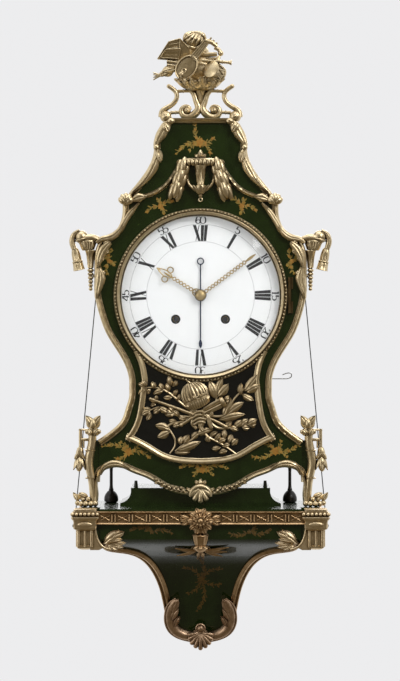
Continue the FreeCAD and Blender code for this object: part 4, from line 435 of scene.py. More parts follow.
def enamel_finish():
    """White enamel: faintly uneven, glossy, with hardly visible hair lines."""
    f = Finish("enamel_white", IOR=1.5, Coat_Weight=0.3, Coat_Roughness=0.04)
    hair = f.ramp(f.cracks(16), (0.0, 0.93), (0.012, 1.0))
    tone = f.ramp(f.noise(12, 3), (0.3, (0.765, 0.775, 0.78)), (0.7, (0.795, 0.80, 0.80)))
    f.drive("Base Color", f.mix(0.35, tone, hair, "MULTIPLY"))
    f.drive("Roughness", f.ramp(f.noise(40, 4), (0.3, 0.14), (0.8, 0.24)))
    f.bump(f.noise(30, 2), 0.2, 0.08)
    return f


def paint_finish(name, dark, light, rough):
    """Fired or brushed paint: a little uneven in tone and gloss."""
    f = Finish(name, IOR=1.45)
    f.drive("Base Color", f.ramp(f.noise(260, 5, 0.65), (0.3, dark), (0.7, light)))
    f.drive("Roughness", f.ramp(f.noise(500, 3), (0.3, rough), (0.8, rough + 0.2)))
    f.bump(f.noise(700, 3), 0.1, 0.3)
    return f


def glass_finish():
    """Clear blown glass; light reaches the dial through it, so it casts no shadow of its own."""
    f = Finish("glass_clear", IOR=1.32, Transmission_Weight=1.0, Base_Color=(0.985, 0.99, 0.985, 1))
    f.drive("Roughness", f.ramp(f.noise(30, 3), (0.4, 0.0), (0.9, 0.02)))
    f.bump(f.noise(14, 2), 0.15, 0.06)
    clear = f.add("ShaderNodeBsdfTransparent")
    shadow = f.add("ShaderNodeLightPath").outputs["Is Shadow Ray"]
    both = f.add("ShaderNodeMixShader", {0: shadow, 1: f.shader.outputs[0], 2: clear.outputs[0]})
    f.tree.links.new(both.outputs[0], f.tree.nodes["Material Output"].inputs["Surface"])
    return f


def cord_finish():
    """Twisted silk, dark and slightly shiny."""
    f = Finish("silk_twist", Sheen_Weight=0.4, Sheen_Roughness=0.4, IOR=1.45)
    twist = f.add("ShaderNodeTexWave", {
        "Vector": f.where, "Scale": 210.0, "Distortion": 1.5, "Detail": 2.0,
    }, bands_direction="DIAGONAL").outputs["Fac"]
    f.drive("Base Color", f.ramp(twist, (0.2, (0.012, 0.013, 0.010)), (0.8, (0.05, 0.05, 0.038))))
    f.drive("Roughness", f.ramp(f.noise(600, 3), (0.3, 0.45), (0.7, 0.7)))
    f.bump(twist, 0.3, 0.8)
    return f


green = lacquer("lacquer_green", (0.0090, 0.0205, 0.0030), (0.0165, 0.0345, 0.0056),
                (0.034, 0.033, 0.008))
black = lacquer("lacquer_black", (0.0045, 0.0050, 0.0055), (0.008, 0.009, 0.0085),
                (0.014, 0.014, 0.010))
# Each gilding's third colour is the painted shade of its recesses, partly dark patina.
ormolu = gilding("ormolu", (0.77, 0.63, 0.405), (0.63, 0.505, 0.30), (0.06, 0.036, 0.014), 0.26)
russet = gilding("ormolu_russet", (0.62, 0.425, 0.235), (0.42, 0.27, 0.135), (0.10, 0.056, 0.024), 0.28)
pale_russet = gilding("ormolu_warm", (0.84, 0.68, 0.45), (0.68, 0.525, 0.32), (0.10, 0.06, 0.026), 0.28)
old_gilt = gilding("ormolu_old", (0.68, 0.545, 0.345), (0.51, 0.395, 0.225), (0.05, 0.03, 0.012), 0.26)
bronze = gilding("ormolu_bronze", (0.64, 0.45, 0.30), (0.41, 0.27, 0.175), (0.05, 0.028, 0.015), 0.31)
gilt = gilding("hand_gilt", (0.40, 0.30, 0.15), (0.29, 0.21, 0.095), (0.09, 0.055, 0.02), 0.24)
brass = metal("brass_movement", (0.62, 0.43, 0.15), (0.78, 0.57, 0.24), 0.2)
steel = metal("steel_bright", (0.42, 0.42, 0.43), (0.58, 0.58, 0.58), 0.2)
# Steel for the arbors seen through the winding holes, painted dark as the shade inside the holes.
hole_shade_steel = metal("steel_painted_shade", (0.035, 0.035, 0.04), (0.075, 0.075, 0.078), 0.24)
blued = metal("steel_blued", (0.012, 0.016, 0.035), (0.03, 0.04, 0.075), 0.24)
dark_bronze = metal("bronze_hinge", (0.10, 0.065, 0.03), (0.17, 0.12, 0.06), 0.35)
bell_bronze = metal("bronze_bell", (0.55, 0.40, 0.20), (0.68, 0.52, 0.30), 0.16)
oak = wood("wood_carcass", (0.085, 0.045, 0.020), (0.19, 0.11, 0.055), 0.55)
ebonised = wood("wood_ebonised", (0.006, 0.005, 0.004), (0.020, 0.015, 0.011), 0.3)
enamel = enamel_finish()
ink = paint_finish("enamel_black", (0.006, 0.006, 0.007), (0.014, 0.014, 0.015), 0.25)
grey_ink = paint_finish("enamel_grey", (0.20, 0.20, 0.21), (0.30, 0.30, 0.31), 0.3)
gold_paint = paint_finish("paint_gold", (0.20, 0.13, 0.022), (0.50, 0.36, 0.085), 0.36)
blossom_paint = paint_finish("paint_blossom", (0.36, 0.15, 0.022), (0.56, 0.31, 0.06), 0.36)
faded_paint = paint_finish("paint_faded", (0.075, 0.042, 0.009), (0.18, 0.11, 0.026), 0.34)
glass = glass_finish()
silk = cord_finish()

NODE_FINISH = {
    green: "case_carcass case_front console_body console_shelf console_plinth",
    black: "door_panel",
    ebonised: "rear_feet",
    oak: "case_back_board console_back_board case_floor movement_seat_board",
    enamel: "dial",
    glass: "door_glass",
    gilt: "hour_hand minute_hand",
    blued: "alarm_hand",
    steel: "hammer strike_trip_wire anchor",
    # The winding arbors take steel painted dark as the shade inside the winding holes.
    hole_shade_steel: "going_arbor strike_arbor",
    bell_bronze: "bell",
    silk: "repeat_cord_left repeat_cord_right",
    brass: "back_plate front_plate cannon_pinion center_wheel escape_wheel going_barrel hour_wheel "
           "minute_wheel strike_barrel strike_pin_wheel third_wheel pendulum cord_guides",
    dark_bronze: "case_hinge door_hinge",
}
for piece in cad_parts.values():
    piece.data.materials.clear()
    piece.data.materials.append(ormolu.material)
for finish, names in NODE_FINISH.items():
    for name in names.split():
        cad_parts[name].data.materials[0] = finish.material


def mount(name, shape, node, finish=ormolu, body="case"):
    """A casting that is shown in place of a node of the frame."""
    make(name, shape, finish, body, [node])


# Pull cords: places (x, z) of the knot and of the end, and the depth
CORD_TOP, CORD_END, CORD_Y = (155.0, 396.0), (195.5, -36.0), -7.0
CORD_D, KNOT_R, RING_R = 1.6, 2.2, 2.6


def pull_cord(side, hand):
    """A silk cord held straight between its knot and its ring, on the way past both guides."""
    name, body = "pull_cord_" + hand, "repeat_" + hand
    curve = bpy.data.curves.new(name, "CURVE")
    curve.dimensions = "3D"
    curve.bevel_depth = CORD_D / 2 * MM
    curve.bevel_resolution = 3
    (top_x, top_z), (end_x, end_z) = CORD_TOP, CORD_END
    route = [CORD_TOP, ((top_x + end_x) / 2, (top_z + end_z) / 2), CORD_END]
    line = curve.splines.new("NURBS")
    line.points.add(len(route) - 1)
    for point, (x, z) in zip(line.points, route):
        point.co = (side * x * MM, CORD_Y * MM, z * MM, 1)
    line.order_u = 3
    line.use_endpoint_u = True
    curve.materials.append(silk.material)
    cord = placed(name, curve)
    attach(cord, body)
    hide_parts("repeat_cord_" + hand)
    ends = Shape()
    ends.ball((side * top_x, CORD_Y, top_z), KNOT_R, (1, 1, 0.9))
    ends.ring((side * end_x, CORD_Y, end_z - RING_R), OUT, RING_R, 0.8)
    fitting = make(name + "_ends", ends, silk, body)


pull_cord(-1, "left")
pull_cord(1, "right")


# Dial
def laid(points, angle, y):
    """Points (across, out) about the dial's centre, turned clockwise and placed at one depth."""
    c, s = cos(angle), sin(angle)
    return at_depth([(x * c + z * s, DIAL_Z - x * s + z * c) for x, z in points], y)


def on_dial(radius, angle, y):
    return vec(radius * sin(angle), y, DIAL_Z + radius * cos(angle))


STROKE_THICK, STROKE_THIN = 4.9, 1.2
LETTER_PITCH = {"I": 5.6, "V": 11.6, "X": 11.6}
LETTER_MARGIN = 2.2


def numeral_strokes(text):
    """The strokes of a Roman numeral as (place of the foot, place of the head, thickness)."""
    strokes, at = [], -sum(LETTER_PITCH[c] for c in text) / 2
    for c in text:
        pitch = LETTER_PITCH[c]
        middle, half = at + pitch / 2, pitch / 2 - LETTER_MARGIN
        if c == "I":
            strokes.append((middle, middle, STROKE_THICK))
        elif c == "V":
            strokes += [(middle, middle - half, STROKE_THICK),
                        (middle + 0.4, middle + half, STROKE_THIN)]
        else:
            strokes += [(middle + half, middle - half, STROKE_THICK),
                        (middle - half, middle + half, STROKE_THIN)]
        at += pitch
    return strokes


DIGITS = {
    "0": [[(0, 1.0), (-0.36, 0.82), (-0.42, 0.5), (-0.36, 0.18), (0, 0), (0.36, 0.18), (0.42, 0.5),
           (0.36, 0.82), (0, 1.0)]],
    "1": [[(-0.18, 0.84), (0.04, 1.0)], [(0.05, 1.0), (0.05, 0.0)], [(-0.16, 0.0), (0.26, 0.0)]],
    "2": [[(-0.34, 0.76), (-0.2, 0.96), (0.1, 1.0), (0.34, 0.78), (0.2, 0.46), (-0.36, 0.02)],
          [(-0.36, 0.02), (0.4, 0.02)]],
    "3": [[(-0.32, 0.84), (-0.05, 1.0), (0.28, 0.84), (0.22, 0.6), (-0.06, 0.53)],
          [(-0.06, 0.53), (0.32, 0.42), (0.34, 0.14), (0.0, 0.0), (-0.34, 0.14)]],
    "4": [[(0.16, 1.0), (-0.4, 0.3), (0.42, 0.3)], [(0.16, 1.0), (0.16, 0.0)]],
    "5": [[(0.34, 0.98), (-0.24, 0.98)], [(-0.24, 0.98), (-0.28, 0.55)],
          [(-0.28, 0.55), (0.06, 0.64), (0.36, 0.4), (0.26, 0.08), (-0.04, 0.0), (-0.34, 0.12)]],
    "6": [[(0.3, 0.92), (-0.02, 0.98), (-0.34, 0.6), (-0.34, 0.24), (0.0, 0.0), (0.34, 0.26),
           (0.22, 0.54), (-0.06, 0.58), (-0.32, 0.38)]],
}


def pen_stroke(points, thin, thick):
    """The two sides of a stroke drawn with a broad pen: thick where it runs up or down."""
    line = spline(points, 0.35) if len(points) > 2 else np.array(points, float)
    way = directions(line)
    half = (thin + (thick - thin) * np.abs(way[:, 1]) ** 1.5) / 2
    normal = np.stack((-way[:, 1], way[:, 0]), axis=1)
    return line + normal * half[:, None], line - normal * half[:, None]


PRINT_Y, PRINT_RISE = DIAL_FACE_Y + 0.05, 0.2


class DialPrint(Shape):
    """A thin layer of fired colour on the dial, given as flat (across, out) points."""

    def patch(self, outline, angle):
        self.prism(laid(outline, angle, PRINT_Y), PRINT_RISE)

    def strip(self, left, right, angle):
        """The area between two lines of points."""
        rows = []
        for pair in zip(left, right):
            a, b = (np.array(p) for p in laid(pair, angle, PRINT_Y))
            rows.append([a, b, b + OUT * PRINT_RISE, a + OUT * PRINT_RISE])
        self.loft(rows)

    def circle(self, radius, width):
        inner, outer, top = radius - width / 2, radius + width / 2, PRINT_Y - PRINT_RISE
        section = ((inner, PRINT_Y), (outer, PRINT_Y), (outer, top), (inner, top))
        self.closed_loft([[on_dial(r, a, y) for r, y in section] for a in angles(180)])


HOURS = "XII I II III IIII V VI VII VIII IX X XI".split()
HOUR_IN_R, HOUR_OUT_R = 81.5, 105.5
NARROW = HOUR_IN_R / HOUR_OUT_R
MINUTE_BASE_R, MINUTE_HEIGHT, DIGIT_PITCH = 107.8, 9.4, 7.4
PEN_THIN, PEN_THICK = 0.8, 2.1
WINDING_X, WINDING_Z = 37.3, 281.0
# Black cup lining each winding hole, with a thin black lip on the dial: painted shade for the dark
# inside of the hole.
WINDING_HOLE_SHADE = ((6.35, -112.6), (6.35, -116.9), (7.0, -117.05), (5.9, -117.05), (5.9, -113.6),
               (4.4, -113.6), (4.4, -112.6))
TRACK_IN_R, TRACK_OUT_R, TRACK_LINE = 81.0, 106.6, 0.45
HOUR_DOT, MINUTE_DOT = 0.85, 0.6

hours, minutes, track = DialPrint(), DialPrint(), DialPrint()
for hour, text in enumerate(HOURS):
    angle = TURN * hour / 12
    for foot, head, width in numeral_strokes(text):
        f, w = foot * NARROW, width / 2
        hours.patch([(f - w * NARROW, HOUR_IN_R), (head - w, HOUR_OUT_R),
                     (head + w, HOUR_OUT_R), (f + w * NARROW, HOUR_IN_R)], angle)
    digits = str(5 * hour or 60)
    for k, digit in enumerate(digits):
        shift = (k - (len(digits) - 1) / 2) * DIGIT_PITCH
        for stroke in DIGITS[digit]:
            points = [(shift + x * MINUTE_HEIGHT, MINUTE_BASE_R + z * MINUTE_HEIGHT) for x, z in stroke]
            minutes.strip(*pen_stroke(points, PEN_THIN, PEN_THICK), angle)
# Black cups in the winding holes, part of the black print layer: painted shade.
for x in (-WINDING_X, WINDING_X):
    hours.closed_loft([[vec(x + r * cos(a), y, WINDING_Z + r * sin(a)) for r, y in WINDING_HOLE_SHADE]
                       for a in angles(40)])
for radius in (TRACK_IN_R, TRACK_OUT_R):
    track.circle(radius, TRACK_LINE)
for minute in range(60):
    size = MINUTE_DOT if minute % 5 else HOUR_DOT
    track.patch([(size * cos(a), TRACK_OUT_R + size * sin(a)) for a in angles(8)], TURN * minute / 60)
for name, layer, colour in (("dial_hours", hours, ink), ("dial_minutes", minutes, ink),
                            ("dial_track", track, grey_ink)):
    make(name, layer, colour, sharp=30)

# Hands: chains of pierced links, cut from sheet and gilt
MINUTE_AT, HOUR_AT = (radians(53.3), -125.4), (radians(302), -122.7)
MINUTE_LENGTH, HOUR_LENGTH, HUB_R = 104.0, 78.0, 8.0
LINK_PITCH, LINK_HALF, HAND_WIRE = 5.9, 2.5, 0.9
LINK_STEPS = 160


def chain_of_links(shape, count, place):
    """Wires that cross and part again from the hub out. Gives the distance at which they end."""
    end = HUB_R + LINK_PITCH * count
    steps = [HUB_R + (end - HUB_R) * k / LINK_STEPS for k in range(LINK_STEPS + 1)]
    for way in (-1, 1):
        wave = [(way * LINK_HALF * sin(pi * (r - HUB_R) / LINK_PITCH), r) for r in steps]
        shape.tube(laid(wave, *place), HAND_WIRE, 6)
    for k in range(1, count):
        shape.ball(laid([(0, HUB_R + LINK_PITCH * k)], *place)[0], 1.15, sides=8, rows=6)
    return end


minute_hand = Shape()
links_end = chain_of_links(minute_hand, 13, MINUTE_AT)
root, tip = laid([(0, links_end - 1), (0, MINUTE_LENGTH)], *MINUTE_AT)
minute_hand.leaf(root, tip, 4.2, 0.7, back=0.4)
boss = [(4.4, 0), (8.2, 0.2), (8.2, 1.2), (7.7, 2.6), (6.6, 4.0), (4.6, 5.2), (2.2, 5.8), (0.3, 6.0)]
minute_hand.lathe((0, -124.9, DIAL_Z), OUT, boss, 32)
make("minute_hand_chain", minute_hand, gilt, "minute", ["minute_hand"])

hour_hand = Shape()
links_end = chain_of_links(hour_hand, 7, HOUR_AT)
hub, *side_rings = laid([(0, HUB_R), (-8, links_end + 9), (8, links_end + 9)], *HOUR_AT)
hour_hand.ring(hub, OUT, 5.2, HAND_WIRE, 24, 6)
for way, centre in zip((-1, 1), side_rings):
    hour_hand.ring(centre, OUT, 4.4, HAND_WIRE, 24, 6)
    petal = [(0, links_end), (way * 3.6, links_end + 6), (way * 4.4, links_end + 13),
             (way * 2.4, links_end + 22), (0, HOUR_LENGTH - 1)]
    hour_hand.tube(spline(laid(petal, *HOUR_AT), 1.0), HAND_WIRE, 6)
for start, end, wide in ((links_end + 1, links_end + 16, 3.4), (HOUR_LENGTH - 8, HOUR_LENGTH, 2.6)):
    hour_hand.leaf(*laid([(0, start), (0, end)], *HOUR_AT), wide, 0.6, back=0.4)
make("hour_hand_chain", hour_hand, gilt, "hour", ["hour_hand"])

# Door: beaded bezel and gilt strips
BEZEL_BACK, BEZEL_R = -125.3, 130.5
BEADS, BEAD_CIRCLE_R = 150, 127.8
ring_profile = [
    (118.5, 0.0), (118.5, 3.2), (119.4, 5.4), (121.0, 7.4), (122.6, 9.2), (123.8, 10.2), (124.8, 10.0),
    (125.4, 8.6), (125.7, 5.6), (129.6, 5.2), (130.3, 4.2), (BEZEL_R, 3.0), (BEZEL_R, 0.0),
]
bezel = Shape()
bezel.closed_loft([[on_dial(r, a, BEZEL_BACK - h) for r, h in ring_profile] for a in angles(160)])
for k, a in enumerate(angles(BEADS)):
    bezel.ball(on_dial(BEAD_CIRCLE_R, a, BEZEL_BACK - 6.4), 2.0 if k % 3 else 1.5, sides=10, rows=6)
mount("bezel_beaded", bezel, "door_bezel", body="door")

DOOR_TOP, DOOR_NECK, DOOR_FOOT, DOOR_MID = (108.0, 246.0), (88.0, 190.0), (113.0, 102.0), (0.0, 63.5)
door_side = [
    *spline(between(DOOR_TOP, DOOR_NECK, ((0.58, 0.77),)), DOOR_STEP),
    *spline(between(DOOR_NECK, DOOR_FOOT, ((0.43, 0.19), (0.73, 0.44))), DOOR_STEP)[1:],
]
door_side = [p for p in door_side if hypot(p[0], p[1] - DIAL_Z) > BEZEL_R + 1.0]
DOOR_BOW_SHARES = ((0.40, 0.274), (0.77, 0.49), (0.97, 0.80))
door_bow = spline(between(DOOR_FOOT, DOOR_MID, DOOR_BOW_SHARES), DOOR_STEP)
strip_profile = [(0, 0), (0, 2.0), (0.9, 3.4), (2.6, 4.0), (4.6, 3.4), (6.0, 2.2), (7.4, 2.0),
                 (8.2, 2.6), (9.0, 2.0), (9.0, 0)]
strips = Shape()
strips.moulding(at_depth(door_side[::-1], PANEL_Y), strip_profile)
strips.mirrored()
strips.moulding(at_depth(both_halves(door_bow), PANEL_Y), strip_profile)
mount("door_strips_moulded", strips, "door_strips", body="door")

# Case outline, right side, from the hood down to the hip
HOOD_TOP, HOOD_FOOT, SHOULDER = (54.8, 578.0), (105.8, 472.0), (117.0, 455.0)
EAR, BELLY, WAIST, HIP = (150.0, 402.0), (159.2, 340.0), (107.0, 177.0), (154.0, 100.0)
RUNS = [
    (HOOD_TOP, HOOD_FOOT, ((0.245, 0.28), (0.425, 0.30), (0.66, 0.47), (0.89, 0.81))),
    (HOOD_FOOT, SHOULDER, ((0.5, 0.5),)),
    (SHOULDER, EAR, ((0.36, 0.015), (0.79, 0.35))),
    (EAR, BELLY, ((0.226, 0.70), (0.66, 1.0))),
    (BELLY, WAIST, ((0.11, 0.0), (0.288, 0.115), (0.497, 0.349), (0.656, 0.655), (0.79, 0.885),
                    (0.93, 1.0))),
    (WAIST, HIP, ((0.143, 0.0), (0.377, 0.106), (0.61, 0.243), (0.753, 0.447))),
]
contour = []
for start, end, shares in RUNS:
    run = [tuple(p) for p in spline(between(start, end, shares), OUTLINE_STEP)]
    contour += run[1:] if contour else run
contour_up = at_depth(contour[::-1], FRONT_Y)
contour_profile = [(0, 0), (0, 2.4), (0.7, 4.3), (2.2, 5.8), (3.8, 6.1), (5.4, 5.0), (6.4, 3.3),
                   (7.4, 2.7), (8.4, 3.5), (9.4, 3.4), (10, 2.4), (10, 0)]


def chased(distance, offset):
    """Shallow overlapping scales along a moulding."""
    step = (distance / 11.0 + abs(offset - 3.5) / 9.0) % 1.0
    return 0.96 + 0.06 * step


mouldings = Shape()
mouldings.moulding(contour_up, contour_profile, pattern=chased)
mouldings.mirrored()
mount("contour_moulding_chased", mouldings, "contour_mouldings")


# Cast mounts of the case
RELIEF_Y = -130.5


def spread(values, count):
    """The given values, spread evenly over a count of points."""
    return np.interp(np.linspace(0, 1, count), np.linspace(0, 1, len(values)), values)


BAR_SECTION = ((-1, 0.36), (-1, -0.06), (-0.88, -0.26), (-0.6, -0.42), (-0.25, -0.49), (0.25, -0.49),
               (0.6, -0.42), (0.88, -0.26), (1, -0.06), (1, 0.36), (0.8, 0.5), (-0.8, 0.5))


def bar(shape, path, widths, depth, y):
    """A cast bar in the front drawing: (x, z) path, a width at each point, depth front to back."""
    loops = []
    for (x, z), (dx, dz), w in zip(path, directions(path), widths):
        side = vec(dz, 0, -dx) * w / 2
        loops.append([vec(x, y, z) + side * s + vec(0, depth * d, 0) for s, d in BAR_SECTION])
    shape.loft(loops)


def swept_bar(shape, path, widths, depth, y):
    """The same bar on a smooth curve through its points."""
    dense = spline(path, CAST_STEP)
    bar(shape, dense, spread(widths, len(dense)), depth, y)


def strap(shape, path, widths, rise, back=1.0, groove=0.0):
    """A crowned band on a smooth path, as wide at each given point as told."""
    dense = spline(path, CAST_STEP)
    loops = []
    for p, t, w in zip(dense, directions(dense), spread(widths, len(dense))):
        side = unit(np.cross(t, OUT))
        loop = []
        for s in (-1, -0.82, -0.5, -0.2, 0, 0.2, 0.5, 0.82, 1):
            height = rise * ((1 - s * s) ** 0.6 - groove * exp(-((s / 0.2) ** 2)))
            loop.append(p + side * w / 2 * s + OUT * height)
        loops.append(loop + [p + side * w / 2 * s - OUT * back for s in (0.8, -0.8)])
    shape.loft(loops)


BUD_SWELL = (
    (0.35, 0.0), (0.75, 0.12), (0.97, 0.32), (1.0, 0.5), (0.85, 0.74), (0.5, 0.92), (0.12, 1.0),
)


def bud(shape, base, tip, radius):
    """A swollen bud or husk between two points."""
    base, tip = np.array(base, float), np.array(tip, float)
    length = np.linalg.norm(tip - base)
    shape.lathe(base, tip - base, [(radius * r, length * h) for r, h in BUD_SWELL], 16)


def bud_garland(shape, path, width, rows):
    """Rows of plump buds between small leaves, hanging down a path."""
    path = spline(path, 1.0)
    last = len(path) - 1
    shape.tube(path, width * 0.36 * np.sin(np.linspace(0.5, 2.6, len(path))), 14)
    for row in range(rows):
        start, end = path[int(row / rows * last)], path[int((row + 1) / rows * last)]
        along = end - start
        side = unit(np.cross(along, OUT))
        for way in (-1, 1):
            shift = side * way * width * 0.25
            bud(shape, start + shift, end + shift * 1.15 + along * 0.3, width * 0.26)
            shape.leaf(start + shift, start + shift * 2.2 + along * 0.42, width * 0.3, width * 0.16)
        raised = OUT * width * 0.17
        bud(shape, start + raised - along * 0.25, end + raised + along * 0.1, width * 0.27)


def shell_ribs(shape, root, count, half_angle, reach, loss, lift, radii, sides, stretch):
    """Round-ended ribs fanned out downwards from a root, shorter by loss for each radian of slant."""
    for a in angles(count, -half_angle, 2 * half_angle * count / (count - 1)):
        length = reach - loss * abs(a)
        tip = root + vec(length * sin(a), -1, -length * cos(a))
        shape.tube([root, (root + tip) / 2 + OUT * lift, tip], radii, sides)
        shape.ball(tip, radii[-1], stretch, 14, 10)


HOOD_Y, CORNICE_Z = -129.0, 574.4
hood = Shape()
upper_leaf = [(44, 580), (52.5, 569), (59.5, 556), (65.5, 545), (66.5, 535)]
lower_leaf = [(66.5, 538), (65, 527), (68, 514), (78, 495.5), (91, 480.5), (102, 471.5)]
strap(hood, at_depth(upper_leaf, HOOD_Y), [9, 15, 16, 11, 7], 5.4, back=4, groove=0.28)
strap(hood, at_depth(lower_leaf, HOOD_Y), [5, 11, 14.5, 11.5, 7, 3], 5.4, back=4, groove=0.28)
for x, z, tip_x, tip_z, wide in ((56, 575, 47, 561, 13), (64, 536, 59.5, 515, 11)):
    hood.leaf((x, HOOD_Y - 3, z), (tip_x, HOOD_Y - 4, tip_z), wide, 4.4, curl=2.0)
hood.ball((44, HOOD_Y - 3, 577.5), 5.2, (1.2, 0.8, 0.9))
hood.ball((66, HOOD_Y - 3.5, 538), 4.6, (1, 0.8, 1))
hood.mirrored()
cornice = [
    (0, -9), (0, 2.6), (1.2, 4.6), (2.6, 4.9), (3.6, 6.2), (5.0, 8.2), (6.2, 8.8), (7.6, 8.8),
    (7.6, -9),
]
hood.moulding([(x, FRONT_Y, CORNICE_Z) for x in (-54, 0, 54)], cornice)
mount("hood_cornice_acanthus", hood, "hood_moulding")

crest = Shape()
ARM = [(108, 459.5), (91, 463.5), (76, 468), (60, 476), (48, 487), (37.5, 502), (25, 519.5)]
arm = spline(at_depth(ARM, FRONT_Y), OUTLINE_STEP)
arm_profile = [
    (-3.4, 0), (-3.4, 2.2), (-2.6, 4.6), (-1.0, 6.6), (1.0, 6.8), (2.3, 5.4), (2.8, 3.6), (3.4, 3.0),
    (3.4, 0),
]
crest.moulding(arm, arm_profile, pattern=chased)
garland = [(24, -131, 519), (27, -133, 503), (31.5, -133, 488), (37, -132, 473), (39.5, -131, 464)]
bud_garland(crest, garland, 20, 3)
arm_leaf = [(104, -130.5, 459), (92, -132, 463), (80, -131, 465)]
strap(crest, arm_leaf, [5, 15, 4], 4.5, back=3, groove=0.3)
urn_strap = [(19.5, -129, 512), (20.5, -130, 497), (17.5, -130.5, 484), (7, -131, 473.5)]
strap(crest, urn_strap, [4.5, 5, 5, 4.5], 3.0, back=3)
crest.mirrored()
mount("crest_arms_garlands", crest, "crest_moulding")

urn = Shape()
URN_Y = -134.0
VASE_Y = URN_Y + 0.5
dish = (
    (9, 5.5, 509.5), (14, 7.0, 511), (20, 8.3, 514), (23.6, 8.9, 517.4), (24.6, 9, 519.6),
    (23.8, 8.6, 521.2), (22, 8, 520.8), (19, 7, 518), (8, 4, 516.5),
)
urn.loft([[(a * cos(t), URN_Y + b * sin(t), z) for t in angles(40)] for a, b, z in dish])
for k in range(7):
    x = 6.0 * k - 18
    y = URN_Y - 7.4 * sqrt(1 - (x / 24) ** 2)
    bud(urn, (x * 0.9, y + 1.5, 510.5), (x * 1.08, y, 520.5), 3.3)
vase = [(5.0, 0), (5.4, 1.5), (5.2, 4), (6.4, 14), (8.0, 24), (9.2, 29), (9.6, 31)]
urn.lathe((0, VASE_Y, 480), UP, vase, 40, 10, 1.5, (3, 28))
pendant = [
    (1, 0), (2.8, 1.5), (3.2, 3.5), (2, 5.5), (3.6, 7), (7.2, 11), (8.6, 15.5), (7.6, 18.5), (5, 19.5),
]
urn.lathe((0, VASE_Y, 462.5), UP, pendant, 24)
for a in angles(6, pi / 6):
    way = vec(cos(a), 0.8 * sin(a), 0.0)
    foot = vec(0, VASE_Y, 468.5) + way * 2.5
    urn.leaf(foot, foot + way * 8.5 + UP * 14, 9.4, 3.0, way + vec(0, 0, -0.5), curl=2.4)
urn.ring((0, URN_Y + 1, 459.6), OUT, 2.7, 1.0)
knop = [(5, 0), (6.4, 3), (4.6, 6), (3, 8), (4.4, 11), (4.2, 13.5), (2.4, 16.5), (0.4, 18.8)]
urn.lathe((0, URN_Y, 516), UP, knop, 20)
for way in (-1, 0, 1):
    urn.leaf((way * 1.5, URN_Y - 4, 520), (way * 8.5, URN_Y - 6, 530 - 2.5 * abs(way)), 6, 2.6,
             curl=1.5)
mount("crest_urn_fluted", urn, "crest_urn")

SHOULDER_X = 111.5
shoulder = Shape()
shoulder.ball((SHOULDER_X, RELIEF_Y - 1, 460), 8.5, (1.05, 0.7, 1.1), 20, 14)
for a in angles(5, radians(20), radians(175)):
    way = vec(cos(a), -0.1, sin(a))
    bud(shoulder, (SHOULDER_X, RELIEF_Y - 4, 455), vec(SHOULDER_X, RELIEF_Y - 2, 458) + way * 12, 5.4)
corner_leaf = [(92, 455), (104.7, 440.6), (114.7, 425), (124.7, 410), (139, 402)]
strap(shoulder, at_depth(corner_leaf, RELIEF_Y + 1.5), [4, 9, 9, 9, 5], 3.6, back=4, groove=0.3)
ear_band = [(118, 420), (125, 410), (138, 402.5), (150, 400), (156, 395)]
strap(shoulder, at_depth(ear_band, RELIEF_Y), [6, 10, 11, 9, 5], 4.2, back=3, groove=0.25)
ear = at_depth([(135, 396), (143, 388), (150, 375), (154, 358)], RELIEF_Y)
strap(shoulder, ear, [8, 15, 12, 5], 4.6, back=3, groove=0.28)
for tip_x, tip_z in ((134, 393), (137, 381), (144, 370)):
    shoulder.leaf((tip_x + 12, RELIEF_Y + 1.5, tip_z + 4), (tip_x, RELIEF_Y - 1, tip_z), 13, 3.4)
cheek = at_depth([(152, 358), (150, 343), (153, 328), (156, 312)], RELIEF_Y)
strap(shoulder, cheek, [7, 16, 12, 5], 4.4, back=3, groove=0.28)
for tip_x, tip_z in ((142, 352), (144, 338)):
    shoulder.leaf((tip_x + 8, RELIEF_Y + 0.5, tip_z - 4), (tip_x, RELIEF_Y - 1, tip_z), 9, 3.2)
shoulder.mirrored()
mount("shoulder_leaves_rosettes", shoulder, "shoulder_mounts")

side_urn = Shape()
SIDE_X, SIDE_Y = 165.0, -122.5
BOWL_X = SIDE_X + 4.5
KNOB = vec(178.5, SIDE_Y - 2.0, 404.0)
stem = [(0.5, 0), (2.2, 0.8), (2.9, 2.6), (2.4, 4.6), (1.9, 5.2)]
for k in range(1, 6):
    r, z = 2.7 + 0.42 * k, 5.6 * k
    stem += [(r * 0.55, z + 0.1), (r * 0.92, z + 1.2), (r * 1.06, z + 2.8), (r * 0.92, z + 4.4),
             (r * 0.55, z + 5.5)]
stem += [(4.4, 34.6), (4.9, 36), (5.6, 44), (6.6, 52), (7.8, 58.6), (8.4, 60.4), (8.2, 61)]
side_urn.lathe((SIDE_X, SIDE_Y, 323.5), UP, stem, 40, 8, 1.5, (36, 58))
bowl = (
    (8.0, 7.5, 384), (9.6, 8.4, 386.5), (11.6, 9.2, 391), (13.2, 9.8, 396), (13.6, 10, 398),
    (12.6, 9, 399.6),
)
side_urn.loft([[(BOWL_X + a * cos(t), SIDE_Y + b * sin(t), z) for t in angles(36)] for a, b, z in bowl])
for k in range(7):
    t = -1 + k / 3
    side_urn.tube([(BOWL_X + 12.5 * t, SIDE_Y - 9.4 * sqrt(1.08 - t * t), 397),
                   (SIDE_X + 3.5 + 8 * t, SIDE_Y - 7.6 * sqrt(1.08 - t * t), 385.5)], [1.5, 1.0], 8)
side_urn.ball(KNOB, 10.0, (1, 0.85, 1), 24, 16)
side_urn.ring(KNOB + vec(0, 0, -3.5), (0.25, 0, 1), 9.2, 1.5, 28, 8)
holder = [(152, -126, 400), (163, -127.5, 403), (173, -127.5, 402)]
strap(side_urn, holder, [9, 11, 12], 5, back=8)
swag = [(181, -126, 413.5), (189.5, -126, 408), (192.5, -125.5, 397), (189.5, -125, 386)]
strap(side_urn, swag, [6, 8, 9, 8], 4.5, back=4, groove=0.25)
